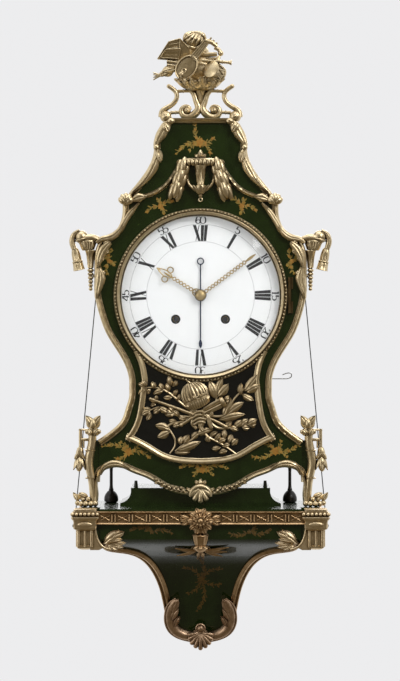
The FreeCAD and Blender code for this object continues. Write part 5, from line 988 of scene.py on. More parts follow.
HUSK_TOP, HUSK_END = vec(189.0, SIDE_Y - 1.0, 388.0), vec(182.0, SIDE_Y - 1.0, 354.5)
husk = [
    (3.0, 0), (5.2, 3), (6.4, 9), (6.8, 16), (6.4, 20), (7.4, 22), (7.8, 27), (8.4, 32), (8.8, 34.2),
    (6.6, 34.2), (5.6, 29),
]
side_urn.lathe(HUSK_TOP, HUSK_END - HUSK_TOP, husk, 32, 6, 1.7, (5, 33))
side_urn.ring(HUSK_TOP + (HUSK_END - HUSK_TOP) * 0.62, HUSK_END - HUSK_TOP, 7.0, 1.2, 28, 8)
side_urn.tube([(158, SIDE_Y + 2, 372), (150, -123.5, 370)], 2.6, 10)
side_urn.tube([(161, SIDE_Y + 1, 346), (153, -124, 345)], 2.4, 10)
side_urn.mirrored()
mount("side_urns_swagged", side_urn, "side_urns")

# Apron
APRON_FOOT, APRON_ARCH, APRON_LOW = (150.8, 37.0), (130.0, 59.0), (0.0, 16.0)
ARCH_SHARES = ((0.40, 0.03), (0.62, 0.11), (0.80, 0.37))
BOW_SHARES = ((0.042, 0.106), (0.17, 0.20), (0.36, 0.365), (0.675, 0.545), (0.855, 0.66), (0.965, 0.80))
apron_half = [
    *spline(between(APRON_FOOT, APRON_ARCH, ARCH_SHARES), OUTLINE_STEP),
    *spline(between(APRON_ARCH, APRON_LOW, BOW_SHARES), OUTLINE_STEP)[1:],
]
apron_profile = [(a * 0.92, h) for a, h in contour_profile]
apron = Shape()
arch_leaf = [
    (150, -130, 48), (145.5, -131.5, 58), (134, -132, 64), (120, -131.5, 63.5), (106, -130, 57),
]
strap(apron, arch_leaf, [4, 9.5, 12, 10, 3], 4.8, back=4, groove=0.3)
half_path = np.array(at_depth(apron_half, FRONT_Y))
for k in range(6):
    spot = half_path[np.argmin(np.abs(half_path[:, 0] - (22 + 7.5 * k)))] + vec(0, -5.2, 7.0)
    for lean in (-3.6, 5.0):
        apron.leaf(spot, spot + vec(10.0, -0.6, lean + 1.5), 5.6, 3.0)
    apron.ball(spot + vec(3, -2.8, 0.6), 2.0, sides=8, rows=6)
apron.mirrored()
apron.moulding(at_depth(both_halves(apron_half), FRONT_Y), apron_profile, pattern=chased)
mount("apron_moulding_chased", apron, "apron_moulding")

shell = Shape()
SHELL_TOP = vec(0.0, -131.5, 28.0)
shell_ribs(shell, SHELL_TOP, 5, 0.98, 18.5, 1.6, 1.8, [2.0, 3.6, 4.3], 14, (1, 0.8, 1))
hoop = [SHELL_TOP + vec(15.5 * sin(a), -1.5, 13.0 * cos(a) - 10.5)
        for a in angles(24, -1.7, 3.4 * 24 / 23)]
strap(shell, hoop, [4, 7, 8.5, 7, 4], 4.2, back=4)
shell.ball((0, -132, 36), 3.6, (1, 0.9, 1.2))
for way in (-1, 0, 1):
    shell.leaf((way * 2, -131.5, 32), (way * 8.5, -132.5, 43 - 3 * abs(way)), 6.5, 3)
    if way:
        shell.leaf((way * 12, -131, 20), (way * 21, -132, 29), 7, 3)
mount("apron_shell_ribbed", shell, "apron_shell")

# Front feet
FOOT_Y, COLLAR_X = -127.0, 165.2
TULIP = vec(161.0, FOOT_Y - 2.0, 120.0)
feet = Shape()
shank = [
    (162, 109), (162.5, 97), (164.3, 86), (166.8, 74), (166.8, 60), (164, 46), (162, 34), (161, 22),
    (160, 7),
]
swept_bar(feet, shank, [12, 12.4, 13.4, 13.6, 12.4, 12, 11.6, 11.4, 10], 16, FOOT_Y)
swept_bar(feet, [(154.5, 44), (156.5, 34), (156, 20), (157.5, 6)], [3, 5.5, 6.5, 7], 14, FOOT_Y - 1.5)
for z, wide in ((84.5, 15), (43, 14)):
    bar(feet, [(COLLAR_X - wide / 2, z), (COLLAR_X + wide / 2, z)], [2.6, 2.6], 17.2, FOOT_Y)
cap = [(6, 0), (8.2, 1), (8.6, 3), (7.2, 5), (6.4, 8), (7.0, 12), (5.8, 15), (3.0, 17)]
feet.lathe((161, FOOT_Y, 106), UP, cap, 24)
for way in (-1, 1):
    feet.leaf(TULIP + vec(way * 1.0, 0, -4), TULIP + vec(way * 11.0, -2.5, 17), 12.5, 4.5,
              bend=-way * 2.0)
    feet.leaf(TULIP + vec(way * 3.0, 6, -4), TULIP + vec(way * 8.0, 9, 14), 11, 4, (0, 1, 0))
    feet.ball(TULIP + vec(way * 8.4, -3.0, -7.5), 3.9, sides=14, rows=10)
    feet.leaf(TULIP + vec(way * 1.0, -6, -13), TULIP + vec(way * 7.5, -7.5, -3), 7.5, 3.2)
bud(feet, TULIP + vec(0, -2.5, -4), TULIP + vec(0, -3.5, 12), 4.8)
# Rockwork round the sole, with sprigs
for x, y, z, r in (
    (164, -136, 4.6, 4.6), (171.5, -135, 4.6, 4.6), (178.5, -132, 4.4, 4.4), (168, -133, 11.4, 4.0),
    (175.5, -130, 11, 3.8), (184, -129, 5.6, 4.2), (157.5, -134, 5.2, 4.6), (165, -124, 4.6, 4.6),
    (175, -123, 4.4, 4.4), (158, -121, 4.4, 4.4),
):
    feet.ball((x, y, z), r, sides=14, rows=9)
feet.leaf((182, -130, 8), (191, -130, 22), 7.5, 3.0, curl=0.5)
feet.leaf((168, -131.5, 14), (183, -131.5, 21), 8, 3.2)
feet.leaf((173, -124, 10), (186, -122, 18), 8, 3.0, (0, 1, 0))
feet.mirrored()
mount("front_feet_scrolled", feet, "front_feet")

brackets = Shape()
for path, widths, depth in (
    ([(165, 115.2), (182.4, 115.2)], [3.0, 3.0], 6), ([(165, 100.4), (180, 100.4)], [4.6, 4.6], 6),
    ([(180, 116.7), (180, 87)], [4.8, 5.2], 6), ([(175.4, 101), (175.4, 88)], [3.4, 3.0], 5),
):
    bar(brackets, path, widths, depth, FOOT_Y)
calyx = [(2.4, 0), (4.6, 3), (6.0, 9), (5.4, 14), (4.4, 16)]
brackets.lathe((180, FOOT_Y, 90), (0.09, 0, -1), calyx, 20, 6, 1.0, (2, 14))
for a in angles(6, pi / 2):
    way = vec(cos(a), 0.75 * sin(a), 0.0)
    base = vec(181.3, FOOT_Y, 76) + way * 2.4
    brackets.leaf(base, base + way * 6.6 + vec(0, 0, -21), 9, 3.4, way, curl=1.2)
bud(brackets, (181.5, FOOT_Y - 1, 75), (182.3, FOOT_Y - 1, 52.5), 6.4)
for way in (-1, 1):
    brackets.leaf((181, FOOT_Y - 3, 82), (181 + way * 8, FOOT_Y - 4, 71), 6.5, 2.8, curl=1)
brackets.mirrored()
mount("foot_brackets_husks", brackets, "foot_brackets")

# Finial: scrolls with a trophy of music above
FINIAL_Y = -88.0


def tapered(shape, points, radii):
    """A round bar on a smooth curve, its radius spread evenly over the given ones."""
    line = spline(at_depth(points, FINIAL_Y), 1.2)
    shape.tube(line, spread(radii, len(line)), 16)


scrolls = Shape()
outer_scroll = [
    (48, 634.5), (41.5, 630), (36.5, 624), (36, 617), (41, 608.5), (50.5, 602), (58, 596), (59, 588),
]
tapered(scrolls, outer_scroll, [3.4, 3.5, 3.6, 3.6, 3.7, 4.0, 4.4, 5.0])
scrolls.ball((48, FINIAL_Y, 634.5), 3.5, sides=12, rows=8)
SCROLL_EYE_X, SCROLL_EYE_Z = 52.5, 588.5
scrolls.ball((SCROLL_EYE_X, FINIAL_Y, SCROLL_EYE_Z), 9.0, (1, 0.92, 1), 24, 16)
scrolls.ring((SCROLL_EYE_X, FINIAL_Y - 5.5, SCROLL_EYE_Z), OUT, 5.2, 1.3, 24, 8)
scrolls.ball((SCROLL_EYE_X, FINIAL_Y - 7, SCROLL_EYE_Z), 2.8, sides=12, rows=8)
inner_scroll = [
    (19, 632), (10, 622), (6.2, 611), (3.2, 601), (8, 593), (17.5, 588), (26, 590.5), (28.6, 597.5),
    (24.5, 603), (18, 602.6), (15.6, 598.6),
]
tapered(scrolls, inner_scroll, [3.6, 4.0, 4.4, 4.8, 5.6, 6.2, 6.0, 5.2, 4.4, 3.6, 3.0])
scrolls.ball((20.2, FINIAL_Y, 597.8), 5.8, (1, 1.3, 1), 18, 12)
for x0, x1, z, r in ((30, 46, 594.8, 2.9), (14, 38, 627.2, 2.8)):
    scrolls.tube(at_depth([(x0, z + 0.5), ((x0 + x1) / 2, z), (x1, z - 0.5)], FINIAL_Y),
                 [r, r * 0.85, r], 12)
    scrolls.ring(((x0 + x1) / 2, FINIAL_Y, z), RIGHT, r * 0.9, 0.8, 14, 6)
for x, top in ((21, 9), (SCROLL_EYE_X, 6)):
    scrolls.lathe((x, FINIAL_Y, 575), UP, [(5.4, 0), (5.8, 3), (4.2, 5), (4.2, top)], 18)
scrolls.mirrored()
socket = [(1, 0), (3.2, 6), (5.6, 16), (8.4, 26), (11, 32), (12, 35)]
scrolls.lathe((0, FINIAL_Y, 599), UP, socket, 28, 9, 1.4, (4, 30))
mount("finial_scroll_frame", scrolls, "finial_scrolls")

trophy = Shape()


def to_front(v):
    return unit(v) if v[1] < 0 else -unit(v)


def sheet(shape, corners, thickness, staves, rim=0.9):
    """A sheet of music: corners (x, y, z) round from the lower left, with raised rim and staves."""
    a, b, c, d = (np.array(p, float) for p in corners)
    facing = to_front(np.cross(b - a, d - a))
    top = [p + facing * thickness for p in (a, b, c, d)]
    shape.loft([[a, b, c, d], top])
    for p, q in zip(top, top[1:] + top[:1]):
        shape.tube([p, (p + q) / 2, q], rim, 8)
    for k in range(staves):
        t = (k + 1) / (staves + 1)
        p, q = top[0] + (top[1] - top[0]) * t, top[3] + (top[2] - top[3]) * t
        shape.tube([p + (q - p) * s for s in (0.1, 0.5, 0.9)], rim * 0.7, 6)


sheet(trophy, [(-65, -96, 675.5), (-48, -104, 700.5), (-31, -102, 705.5), (-33, -94, 673.5)], 2.4, 4)
sheet(trophy, [(-33, -95, 673.5), (-31, -103, 705), (-17.5, -100, 690), (-17.5, -94, 679)], 2.4, 3)
sheet(trophy, [(-61, -99, 677.5), (-52, -104, 689), (-30, -105, 690), (-33, -98, 675.5)], 1.8, 2)

LUTE, LUTE_WAY = vec(-21, -104, 661), unit((0.62, -0.1, 0.78))
LUTE_SIDE = unit(np.cross(LUTE_WAY, OUT))
LUTE_OUT = to_front(np.cross(LUTE_SIDE, LUTE_WAY))
NECK_START, NECK_END, STRING_LIFT = 16, 50, 2.5
NECK_SECTION = ((-1, 0), (-1, 2.4), (1, 2.4), (1, 0), (0.5, -2.4), (-0.5, -2.4))


def on_lute(along, side=0.0, proud=0.0):
    return LUTE + LUTE_WAY * along + LUTE_SIDE * side + LUTE_OUT * proud


lute_rows = []
for t in np.linspace(0, 1, 13):
    half = 14.6 * max(sin(pi * t**0.9), 0.05) ** 0.6
    belly = 9.0 * max(sin(pi * t), 0.1) ** 0.5
    lute_rows.append([
        on_lute(t * 40 - 20, half * cos(a), 1.6 * max(sin(a), 0) - belly * max(-sin(a), 0))
        for a in angles(24)
    ])
trophy.loft(lute_rows)
rim = [on_lute(19.4 * cos(a), 14.0 * sin(a), 1.6) for a in angles(40)]
trophy.tube(rim + rim[:1], 1.4, 8)
trophy.ring(on_lute(-6, 0, 1.8), LUTE_OUT, 3.0, 1.0)
trophy.leaf(on_lute(-16, 0, 1.6), on_lute(-9, 0, 1.6), 8, 1.6, LUTE_OUT)
trophy.loft([[on_lute(at, s * w, o) for s, o in NECK_SECTION]
             for at, w in ((NECK_START, 5.6), (NECK_END, 4.2))])
for shift, thick in ((-1, 0.9), (-0.3, 0.6), (0.3, 0.6), (1, 0.9)):
    string = [on_lute(at, shift * w, STRING_LIFT) for at, w in ((NECK_START, 5.2), (NECK_END, 3.8))]
    trophy.tube(string, thick, 8)
neck_end = on_lute(NECK_END)
head_end = neck_end + vec(15, 1, -8)
peg_box = [neck_end + vec(-2.5, 0, 0.5), neck_end + vec(7, -0.5, -1.5), head_end]
trophy.tube(peg_box, [3.8, 3.6, 3.0], 12)
for k in range(3):
    peg = neck_end + (head_end - neck_end) * (0.1 + 0.3 * k)
    trophy.tube([peg, peg + vec(5, -1, 6.5 - 1.5 * k)], [1.1, 1.5], 8)

DRUM_FACE, DRUM_WAY = vec(15, -113, 658), unit((0.58, 0.76, -0.29))
DRUM_LACES, LACE_R = 10, 12.8
drum = [
    (0.3, -1.8), (5, -1.5), (9.5, -0.4), (12.0, 0.4), (13.2, 0.8), (13.6, 2), (13.2, 3.6), (12.3, 4),
    (12.3, 19.5), (13.2, 20), (13.6, 21.5), (13.2, 23), (12, 23.6), (0.4, 24),
]
trophy.lathe(DRUM_FACE, DRUM_WAY, drum, 40)
drum_u, drum_v = across(DRUM_WAY)
for k in range(DRUM_LACES):
    zigzag = [DRUM_FACE + DRUM_WAY * h + LACE_R * around(drum_u, drum_v, TURN * c / DRUM_LACES)
              for h, c in ((3.8, k), (20, k + 0.5), (3.8, k + 1))]
    for p, q in zip(zigzag, zigzag[1:]):
        trophy.tube([p, (p + q) / 2 + unit(p + q - 2 * DRUM_FACE - DRUM_WAY * 24) * 0.6, q], 0.9, 6)

PIPE_Y = -106
PIPE = at_depth([(2, 671.5), (22, 670), (42, 668.4)], PIPE_Y)
trophy.tube(PIPE, [2.6, 2.4, 2.3], 12)
trophy.lathe(PIPE[2], (1, 0, -0.06), [(2.3, -1), (2.5, 1), (3.9, 4), (4.3, 5), (0.5, 5.2)], 16)
for k in range(4):
    trophy.ring((12 + 7 * k, PIPE_Y, 670.8 - 0.55 * k), (1, 0, -0.08), 2.5, 0.8, 14, 6)
SCROLL_ROLLS = (
    ([(4, 680.5), (14, 681), (25, 681.5)], [3.4, 3.8, 3.2]),
    ([(21, 691.5), (27, 689), (31, 684)], [2.8, 3.2, 3.0]),
    ([(8, 675), (16, 674.5), (24, 675.5)], [2.2, 2.6, 2.0]),
)
for path, radii in SCROLL_ROLLS:
    trophy.tube(at_depth(path, -100), radii, 12)
trophy.ball((30.5, -100, 683), 4.4, sides=14, rows=10)

ROSE, ROSE_HALF = vec(-9.0, -98.0, 703.0), vec(16.0, 11.0, 12.0)


def on_rose(tilt, turn, proud=1.0):
    """A point of the rose's dome: tilt from its middle out to the rim, turn about the middle."""
    way = (sin(tilt) * cos(turn), -cos(tilt), sin(tilt) * sin(turn))
    return ROSE + ROSE_HALF * proud * np.array(way)


trophy.loft([[on_rose(tilt, a) for a in angles(28)] for tilt in np.linspace(0.05, 3.0, 14)])
ROSE_PETALS = (
    (1.45, -0.5, 2.3, 4.0), (1.4, 1.4, 2.2, 4.2), (1.45, 3.2, 2.2, 4.0), (1.3, 4.6, 1.6, 3.4),
)
for tilt, turn, sweep, thick in ROSE_PETALS:
    ridge = [on_rose(tilt - 0.2 * sin(pi * k / 16), turn + sweep * k / 16, 1.03) for k in range(17)]
    trophy.tube(ridge, np.interp(np.arange(17), (0, 8, 16), (0.8, thick, 0.8)), 10)

# Slanting folds across the rose
FOLD_PITCH, FOLD_WAY_X, FOLD_WAY_Z = 0.36, 0.45, 0.89
for k in range(5):
    shift = FOLD_PITCH * (k - 2)
    fold = []
    for s in np.linspace(-0.8, 0.8, 13):
        u, v = s * sqrt(1 - shift**2), shift * (1 - 0.4 * s)
        x, z = FOLD_WAY_X * u - FOLD_WAY_Z * v, FOLD_WAY_Z * u + FOLD_WAY_X * v
        fold.append(on_rose(asin(min(hypot(x, z), 0.98)), atan2(z, x), 1.02))
    trophy.tube(fold, np.interp(np.arange(13), (0, 6, 12), (0.8, 2.7, 0.8)), 10)

# Fringed leaf and two pipe ends on the left
trophy.leaf((-36, -100, 662), (-64, -98, 649), 17, 5.5, lobes=2)
trophy.leaf((-36, -103, 659), (-58, -103, 655), 9, 3.5)
for z in (671, 665.5):
    trophy.tube(at_depth([(-34, z - 2.5), (-43, z - 1), (-51, z)], -98), [2.4, 2.7, 2.9], 12)
for dz in (-6, -2, 2, 5):
    trophy.tube([(-60, -98, 650), (-66, -98.5, 649.5 + 0.5 * dz), (-71.5, -98, 649 + dz)],
                [1.7, 1.3, 0.9], 8)

# Ruffled cup of leaves below
CUP_X, CUP_Z, CUP_WALL, CUP_RUFFLES = -2.0, 627.0, 2.4, 13
outside = [(k / 8, 0.0) for k in range(9)]
inside = [(k / 8, CUP_WALL) for k in range(8, 2, -1)]
cup_rows = []
for t, inset in outside + inside:
    row = []
    for a in angles(90):
        swell = 1 + 0.17 * t * cos(CUP_RUFFLES * a)
        wide, deep = (11 + 23 * t**0.7 - inset) * swell, (9 + 15 * t**0.7 - inset) * swell
        height = CUP_Z + 17 * t**1.3 + 2.4 * t * cos(CUP_RUFFLES * a + 0.8)
        row.append((CUP_X + wide * cos(a), FINIAL_Y + deep * sin(a), height))
    cup_rows.append(row)
trophy.loft(cup_rows)
for k, a in enumerate(angles(12, 0.2)):
    way = vec(cos(a), 0.68 * sin(a), 0.0)
    root = vec(CUP_X, FINIAL_Y, CUP_Z + 5) + way * 22
    tip = vec(CUP_X, FINIAL_Y, CUP_Z + 19 + 3 * (k % 2)) + way * 35
    trophy.leaf(root, tip, 16, 4.0, way - UP * 0.5, curl=3.5, lobes=2)

# Core behind the instruments, and the leaves on its back
trophy.ball((-4, -86, 662), 24, (1.1, 0.5, 0.8), 20, 12)
trophy.ball((-4, -86, 686), 14, (1.2, 0.6, 0.9), 16, 10)
for x, z, tip_x, tip_z in (
    (-10, 650, -44, 678), (10, 650, 30, 684), (0, 660, -4, 712), (-6, 650, -34, 652), (8, 648, 34, 656),
):
    trophy.leaf((x, -77, z), (tip_x, -72, tip_z), 17, 4.5, (0, 1, 0), lobes=3)
mount("finial_music_trophy", trophy, "finial_trophy")


# Turned rear feet on slender necks
low, high = (np.array(corner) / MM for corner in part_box("rear_feet"))
REAR_FOOT_R = 11.0
rear_feet = Shape()
rear_top = high[2]
rear_profile = [
    (7.5, 0), (10.4, 1.2), (11, 4), (10.7, 8), (9, 12.5), (6.2, 16.2), (3.4, 18.6), (3.9, 20),
    (3.0, 21.5), (2.5, 26), (2.4, 0.7 * rear_top), (3.4, rear_top - 8), (5.2, rear_top - 5),
    (5.4, rear_top),
]
rear_feet.lathe((high[0] - REAR_FOOT_R, (low[1] + high[1]) / 2, 0), UP, rear_profile, 32)
rear_feet.mirrored()
make("rear_feet_turned", rear_feet, ebonised, "case", ["rear_feet"])


# Console mounts
SHELF_EDGE_Y, SHELF_EDGE_X = -178.0, 178.0
FRIEZE_Y, FRIEZE_LOW, BODY_LOW = -174.0, -45.0, -212.0
BODY_TOP_HALF, BODY_LOW_HALF, COVE_LOW_Y = 148.8, 46.0, -52.0
BODY_SHARES = (
    (0.055, 0.02), (0.126, 0.36), (0.198, 0.592), (0.335, 0.752), (0.51, 0.855), (0.69, 0.914),
)
COVE_SHARES = (
    (0.042, 0.066), (0.10, 0.197), (0.186, 0.377), (0.30, 0.541), (0.46, 0.705), (0.66, 0.836),
)
body_ends = (BODY_TOP_HALF, FRIEZE_LOW), (BODY_LOW_HALF, BODY_LOW)
cove_ends = (FRIEZE_Y, FRIEZE_LOW), (COVE_LOW_Y, BODY_LOW)
body_line = spline(between(*body_ends, BODY_SHARES), CONSOLE_STEP)
cove_line = spline(between(*cove_ends, COVE_SHARES), CONSOLE_STEP)


def cove_y(z):
    """Depth of the console's front at a height."""
    if z > FRIEZE_LOW:
        return FRIEZE_Y
    return float(np.interp(-z, -cove_line[:, 1], cove_line[:, 0]))


def cove_out(z):
    """Direction square to the console's front at a height."""
    dy = cove_y(z - 1.0) - cove_y(z + 1.0)
    return unit((0.0, -2.0, -dy))


def body_x(z):
    """Half the console's width at a height."""
    return float(np.interp(-z, -body_line[:, 1], body_line[:, 0]))


def on_cove(x, z, proud=0.0):
    return vec(x, cove_y(z), z) + cove_out(z) * proud


BAND_LOW, FIRST_SPRIG, SPRIG_PITCH = -23.0, 26.0, 25.5
UPRIGHT_SHIFT, UPRIGHT_HALF, UPRIGHT_R = 2.4, 5.4, 1.5
WIRE_MARGIN, WIRE_LIFT, WIRE_R = 6.0, 3.4, 0.85
band_profile = [
    (0, -1), (0, 4.4), (1.2, 6.0), (2.8, 5.2), (3.8, 3.0), (10, 2.6), (16.2, 3.0), (17.2, 5.2),
    (18.8, 6.0), (20, 4.4), (20, -1),
]


def sprig(shape, spot, way, out):
    """A pair of upright bars with crossed wires running on to the next pair."""
    spot = np.array(spot, float)
    for shift in (-UPRIGHT_SHIFT, UPRIGHT_SHIFT):
        upright = spot + way * shift + out * 1.2
        shape.tube([upright - UP * UPRIGHT_HALF, upright + UP * UPRIGHT_HALF], UPRIGHT_R, 8)
    start, end = spot + way * WIRE_MARGIN, spot + way * (SPRIG_PITCH - WIRE_MARGIN)
    middle = (start + end) / 2
    for lift in (-WIRE_LIFT, WIRE_LIFT):
        wire = [start + UP * lift + out, middle + out * 1.5, end - UP * lift + out]
        shape.tube(wire, WIRE_R, 8)
    shape.ball(middle + out * 1.4, 2.1, sides=10, rows=7)


band, side_bands = Shape(), Shape()
band.moulding([(x, SHELF_EDGE_Y, BAND_LOW) for x in (-156, 0, 156)], band_profile)
for k in range(5):
    for way in (-1, 1):
        spot = (way * (FIRST_SPRIG + SPRIG_PITCH * k), SHELF_EDGE_Y - 2.8, BAND_LOW + 10)
        sprig(band, spot, way * RIGHT, OUT)
side_bands.moulding([(SHELF_EDGE_X, y, BAND_LOW) for y in (-150, -75, -0.5)], band_profile, RIGHT)
for k in range(4):
    sprig(side_bands, (SHELF_EDGE_X + 2.8, -134 + SPRIG_PITCH * k, BAND_LOW + 10), -OUT, RIGHT)
side_bands.mirrored()
make("shelf_side_bands", side_bands, russet)
mount("shelf_front_band", band, "console_front_band", russet)

corners = Shape()
CORNER_X, CORNER_Y = 170.5, -166.0
FLUTE_TOP, FLUTE_END, BEAD_Z = -31, -55.5, -7.4


def square_stack(shape, x, y, levels):
    """A square turned form: each level is (half width, half depth, height)."""
    loops = []
    for a, b, z in levels:
        soft = min(a, b) * 0.12
        outline = [
            (a, b - soft), (a - soft, b), (soft - a, b), (-a, b - soft), (-a, soft - b), (soft - a, -b),
            (a - soft, -b), (a, soft - b),
        ]
        loops.append([(x + dx, y + dy, z) for dx, dy in outline])
    shape.loft(loops)


CORNER_LEVELS = [
    (5, 6, -60.5), (9, 12, -59), (11.6, 15, -57), (12.4, 16, -54.5), (11.6, 13.5, -53),
    (11.6, 13.5, -33), (13.6, 18.2, -30.5), (16.4, 19.6, -29), (17.2, 20, -27), (17, 19.8, -18),
    (18.4, 21, -15.6), (20, 22.4, -14), (20.4, 22.8, -12.6), (20, 22.4, -11.4), (16.6, 19.2, -10.6),
    (16.6, 19.2, -4.6), (16.6, 19.2, -0.4),
]
square_stack(corners, CORNER_X, CORNER_Y, CORNER_LEVELS)
for k in range(7):
    t = -18.4 + 6.13 * k
    for x, y in ((CORNER_X + t, CORNER_Y - 20.2), (CORNER_X + 17.6, CORNER_Y + t * 1.05)):
        corners.ball((x, y, BEAD_Z), 3.0, sides=12, rows=8)
corners.ball((CORNER_X, CORNER_Y - 19.8, -22.5), 5.5, (2.0, 0.35, 0.75), 20, 10)
for t in (-9.4, 0.0, 9.4):
    for x, y in ((CORNER_X + t, CORNER_Y - 14.2), (CORNER_X + 11.2, CORNER_Y + t * 1.2)):
        corners.tube([(x, y, FLUTE_TOP), (x, y, FLUTE_END)], 2.5, 12)
wing = [(163, -27), (156.4, -28), (154.6, -40), (150, -51), (143, -57), (150, -60.5), (163, -60.5)]
corners.prism(at_depth(wing, CORNER_Y), 12.5)
wing_edge = at_depth([(156, -28), (154, -39), (149.5, -50), (142, -57), (132, -60)], FRIEZE_Y - 3.5)
corners.tube(spline(wing_edge, CAST_STEP), 2.0, 10)
corners.leaf((143, FRIEZE_Y - 1.5, -51), (112, FRIEZE_Y - 2.5, -33), 17, 5.0, bend=2.0)
for base_x, base_z, tip_x, tip_z in ((134, -47, 120, -29), (136, -48, 115, -44)):
    corners.leaf((base_x, FRIEZE_Y - 4, base_z), (tip_x, FRIEZE_Y - 3, tip_z), 7, 2.8)
for tip_x, tip_z in ((109, -49.5), (113, -56), (122, -60), (131, -61)):
    corners.leaf((137, FRIEZE_Y - 1, -53), (tip_x, FRIEZE_Y - 2.5, tip_z), 8, 3.4, curl=1.5)
corners.mirrored()
mount("shelf_corner_blocks", corners, "console_corners", pale_russet)

edges = Shape()
heights = np.linspace(-176, -50, 90)
edge_path = [on_cove(body_x(z) - 1.0, z) for z in heights]
edge_profile = [
    (-1.6, -2.0), (-1.6, 2.2), (-0.6, 3.8), (0.8, 4.0), (1.8, 2.6), (2.8, 2.4), (4.4, 4.6), (6.4, 5.2),
    (8.0, 4.4), (9.0, 2.6), (10.4, 2.0), (10.4, -0.5),
]
edges.moulding(edge_path, edge_profile, [cove_out(z) for z in heights])
edges.mirrored()
mount("console_edge_bands", edges, "console_edge_mouldings", russet)

bloom = Shape()
ROSETTE = vec(0.0, -184.0, -17.0)
bloom.lathe(ROSETTE - OUT * 3, OUT, [(15, 0), (17, 3), (14, 7), (6, 8)], 28)
for row, (reach, wide, lift) in enumerate(((20.5, 11, 0.5), (13, 8.5, 3.0))):
    for a in angles(10, row * pi / 10):
        way = vec(cos(a), 0.0, sin(a))
        bloom.leaf(ROSETTE + way * 3 + OUT * (lift + 2), ROSETTE + way * reach + OUT * lift, wide, 4.4,
                   curl=3.0, lobes=1)
bloom.ball(ROSETTE + OUT * 7.0, 4.2, (1, 0.7, 1), 16, 10)
for a in angles(8):
    bloom.ball(ROSETTE + vec(6.6 * cos(a), -7.0, 6.6 * sin(a)), 1.5, sides=8, rows=6)
for way in (-1, 1):
    for tip_x, tip_z in ((30, -9), (31, -17), (28, -23)):
        bloom.leaf((way * 14, -184.5, -16), (way * tip_x, -184.5, tip_z), 7, 3)
for way in (-1, 0, 1):
    bloom.leaf((way * 3, -187, -26), (way * 8, -184.5, -36.5), 8, 3.4)
mount("shelf_rosette", bloom, "console_rosette", russet)

drop = Shape()
DROP = vec(0.0, -173.0, -38.0)
cup = [
    (8, -3), (12.4, 0), (13, 1.5), (12, 3), (11.4, 7), (9.6, 13), (8.4, 16), (9.4, 17.4), (11.8, 19.4),
    (10, 21.6), (6.5, 24.5), (2.5, 27),
]
drop.lathe(DROP, -UP, cup, 40, 8, 1.6, (2.5, 15))
for a in angles(8):
    way = vec(cos(a), sin(a), 0.0)
    drop.leaf(DROP + way * 7.5 - UP * 15, DROP + way * 13.2 - UP * 21, 7, 2.4, way, curl=1.5)
for way, reach, tip_z, wide in (
    (-1, 38, -58, 5.5), (-1, 36, -71, 6.5), (1, 42, -56, 5.5), (1, 40, -64, 6), (1, 33, -72, 6.5),
):
    drop.leaf(on_cove(way * 5, -61, 2.0), on_cove(way * reach, tip_z, 2.0), wide, 3.4, cove_out(-62),
              bend=way * 2.0)
for way in (-0.6, 0.6):
    drop.leaf(on_cove(way, -60, 3), on_cove(way * 8, -78, 2), 7, 3.4, cove_out(-66), lobes=2)
mount("console_bellflower", drop, "console_drop", russet)

cradle = Shape()


def at_base(x, z, proud=3.0):
    return vec(x, cove_y(z) - proud, z)


CRADLE = [
    (34.5, -146), (42.5, -154), (46.5, -168), (45, -182), (36.5, -195), (23, -201.5), (10, -203.5),
    (0, -204),
]
strap(cradle, [at_base(x, z) for x, z in CRADLE], [10, 15.5, 18, 18, 18, 17, 15, 14], 8.5, back=8)
for x, z, tip_x, tip_z, wide in (
    (44, -166, 34, -142.5, 15), (45, -178, 33.5, -157, 12), (41, -188, 31, -170, 10),
):
    cradle.leaf(at_base(x, z, 9), at_base(tip_x, tip_z, 8), wide, 4.6, bend=1.5, curl=2.0)
CRADLE_RIM = [
    (37.5, -142.5), (48, -151), (54, -167), (53.3, -184), (46.5, -197), (29, -207.5), (14, -211),
]
cradle.tube(spline([at_base(x, z, 7) for x, z in CRADLE_RIM], CAST_STEP), 1.5, 10)
cradle.mirrored()
SHELL_ROOT = at_base(0, -196, 9)
shell_ribs(cradle, SHELL_ROOT, 9, 1.35, 24, 5, 3.5, [1.4, 2.8, 3.7], 12, (1, 1, 1))
cradle.ball(SHELL_ROOT + vec(0, 4, -9), 16, (0.98, 0.45, 0.92), 24, 14)
eye = at_base(0, -190, 10)
cradle.ball(eye, 5.6, sides=18, rows=12)
cradle.ring(eye, OUT, 6.6, 1.6)
mount("console_cradle", cradle, "console_base_mount", bronze)

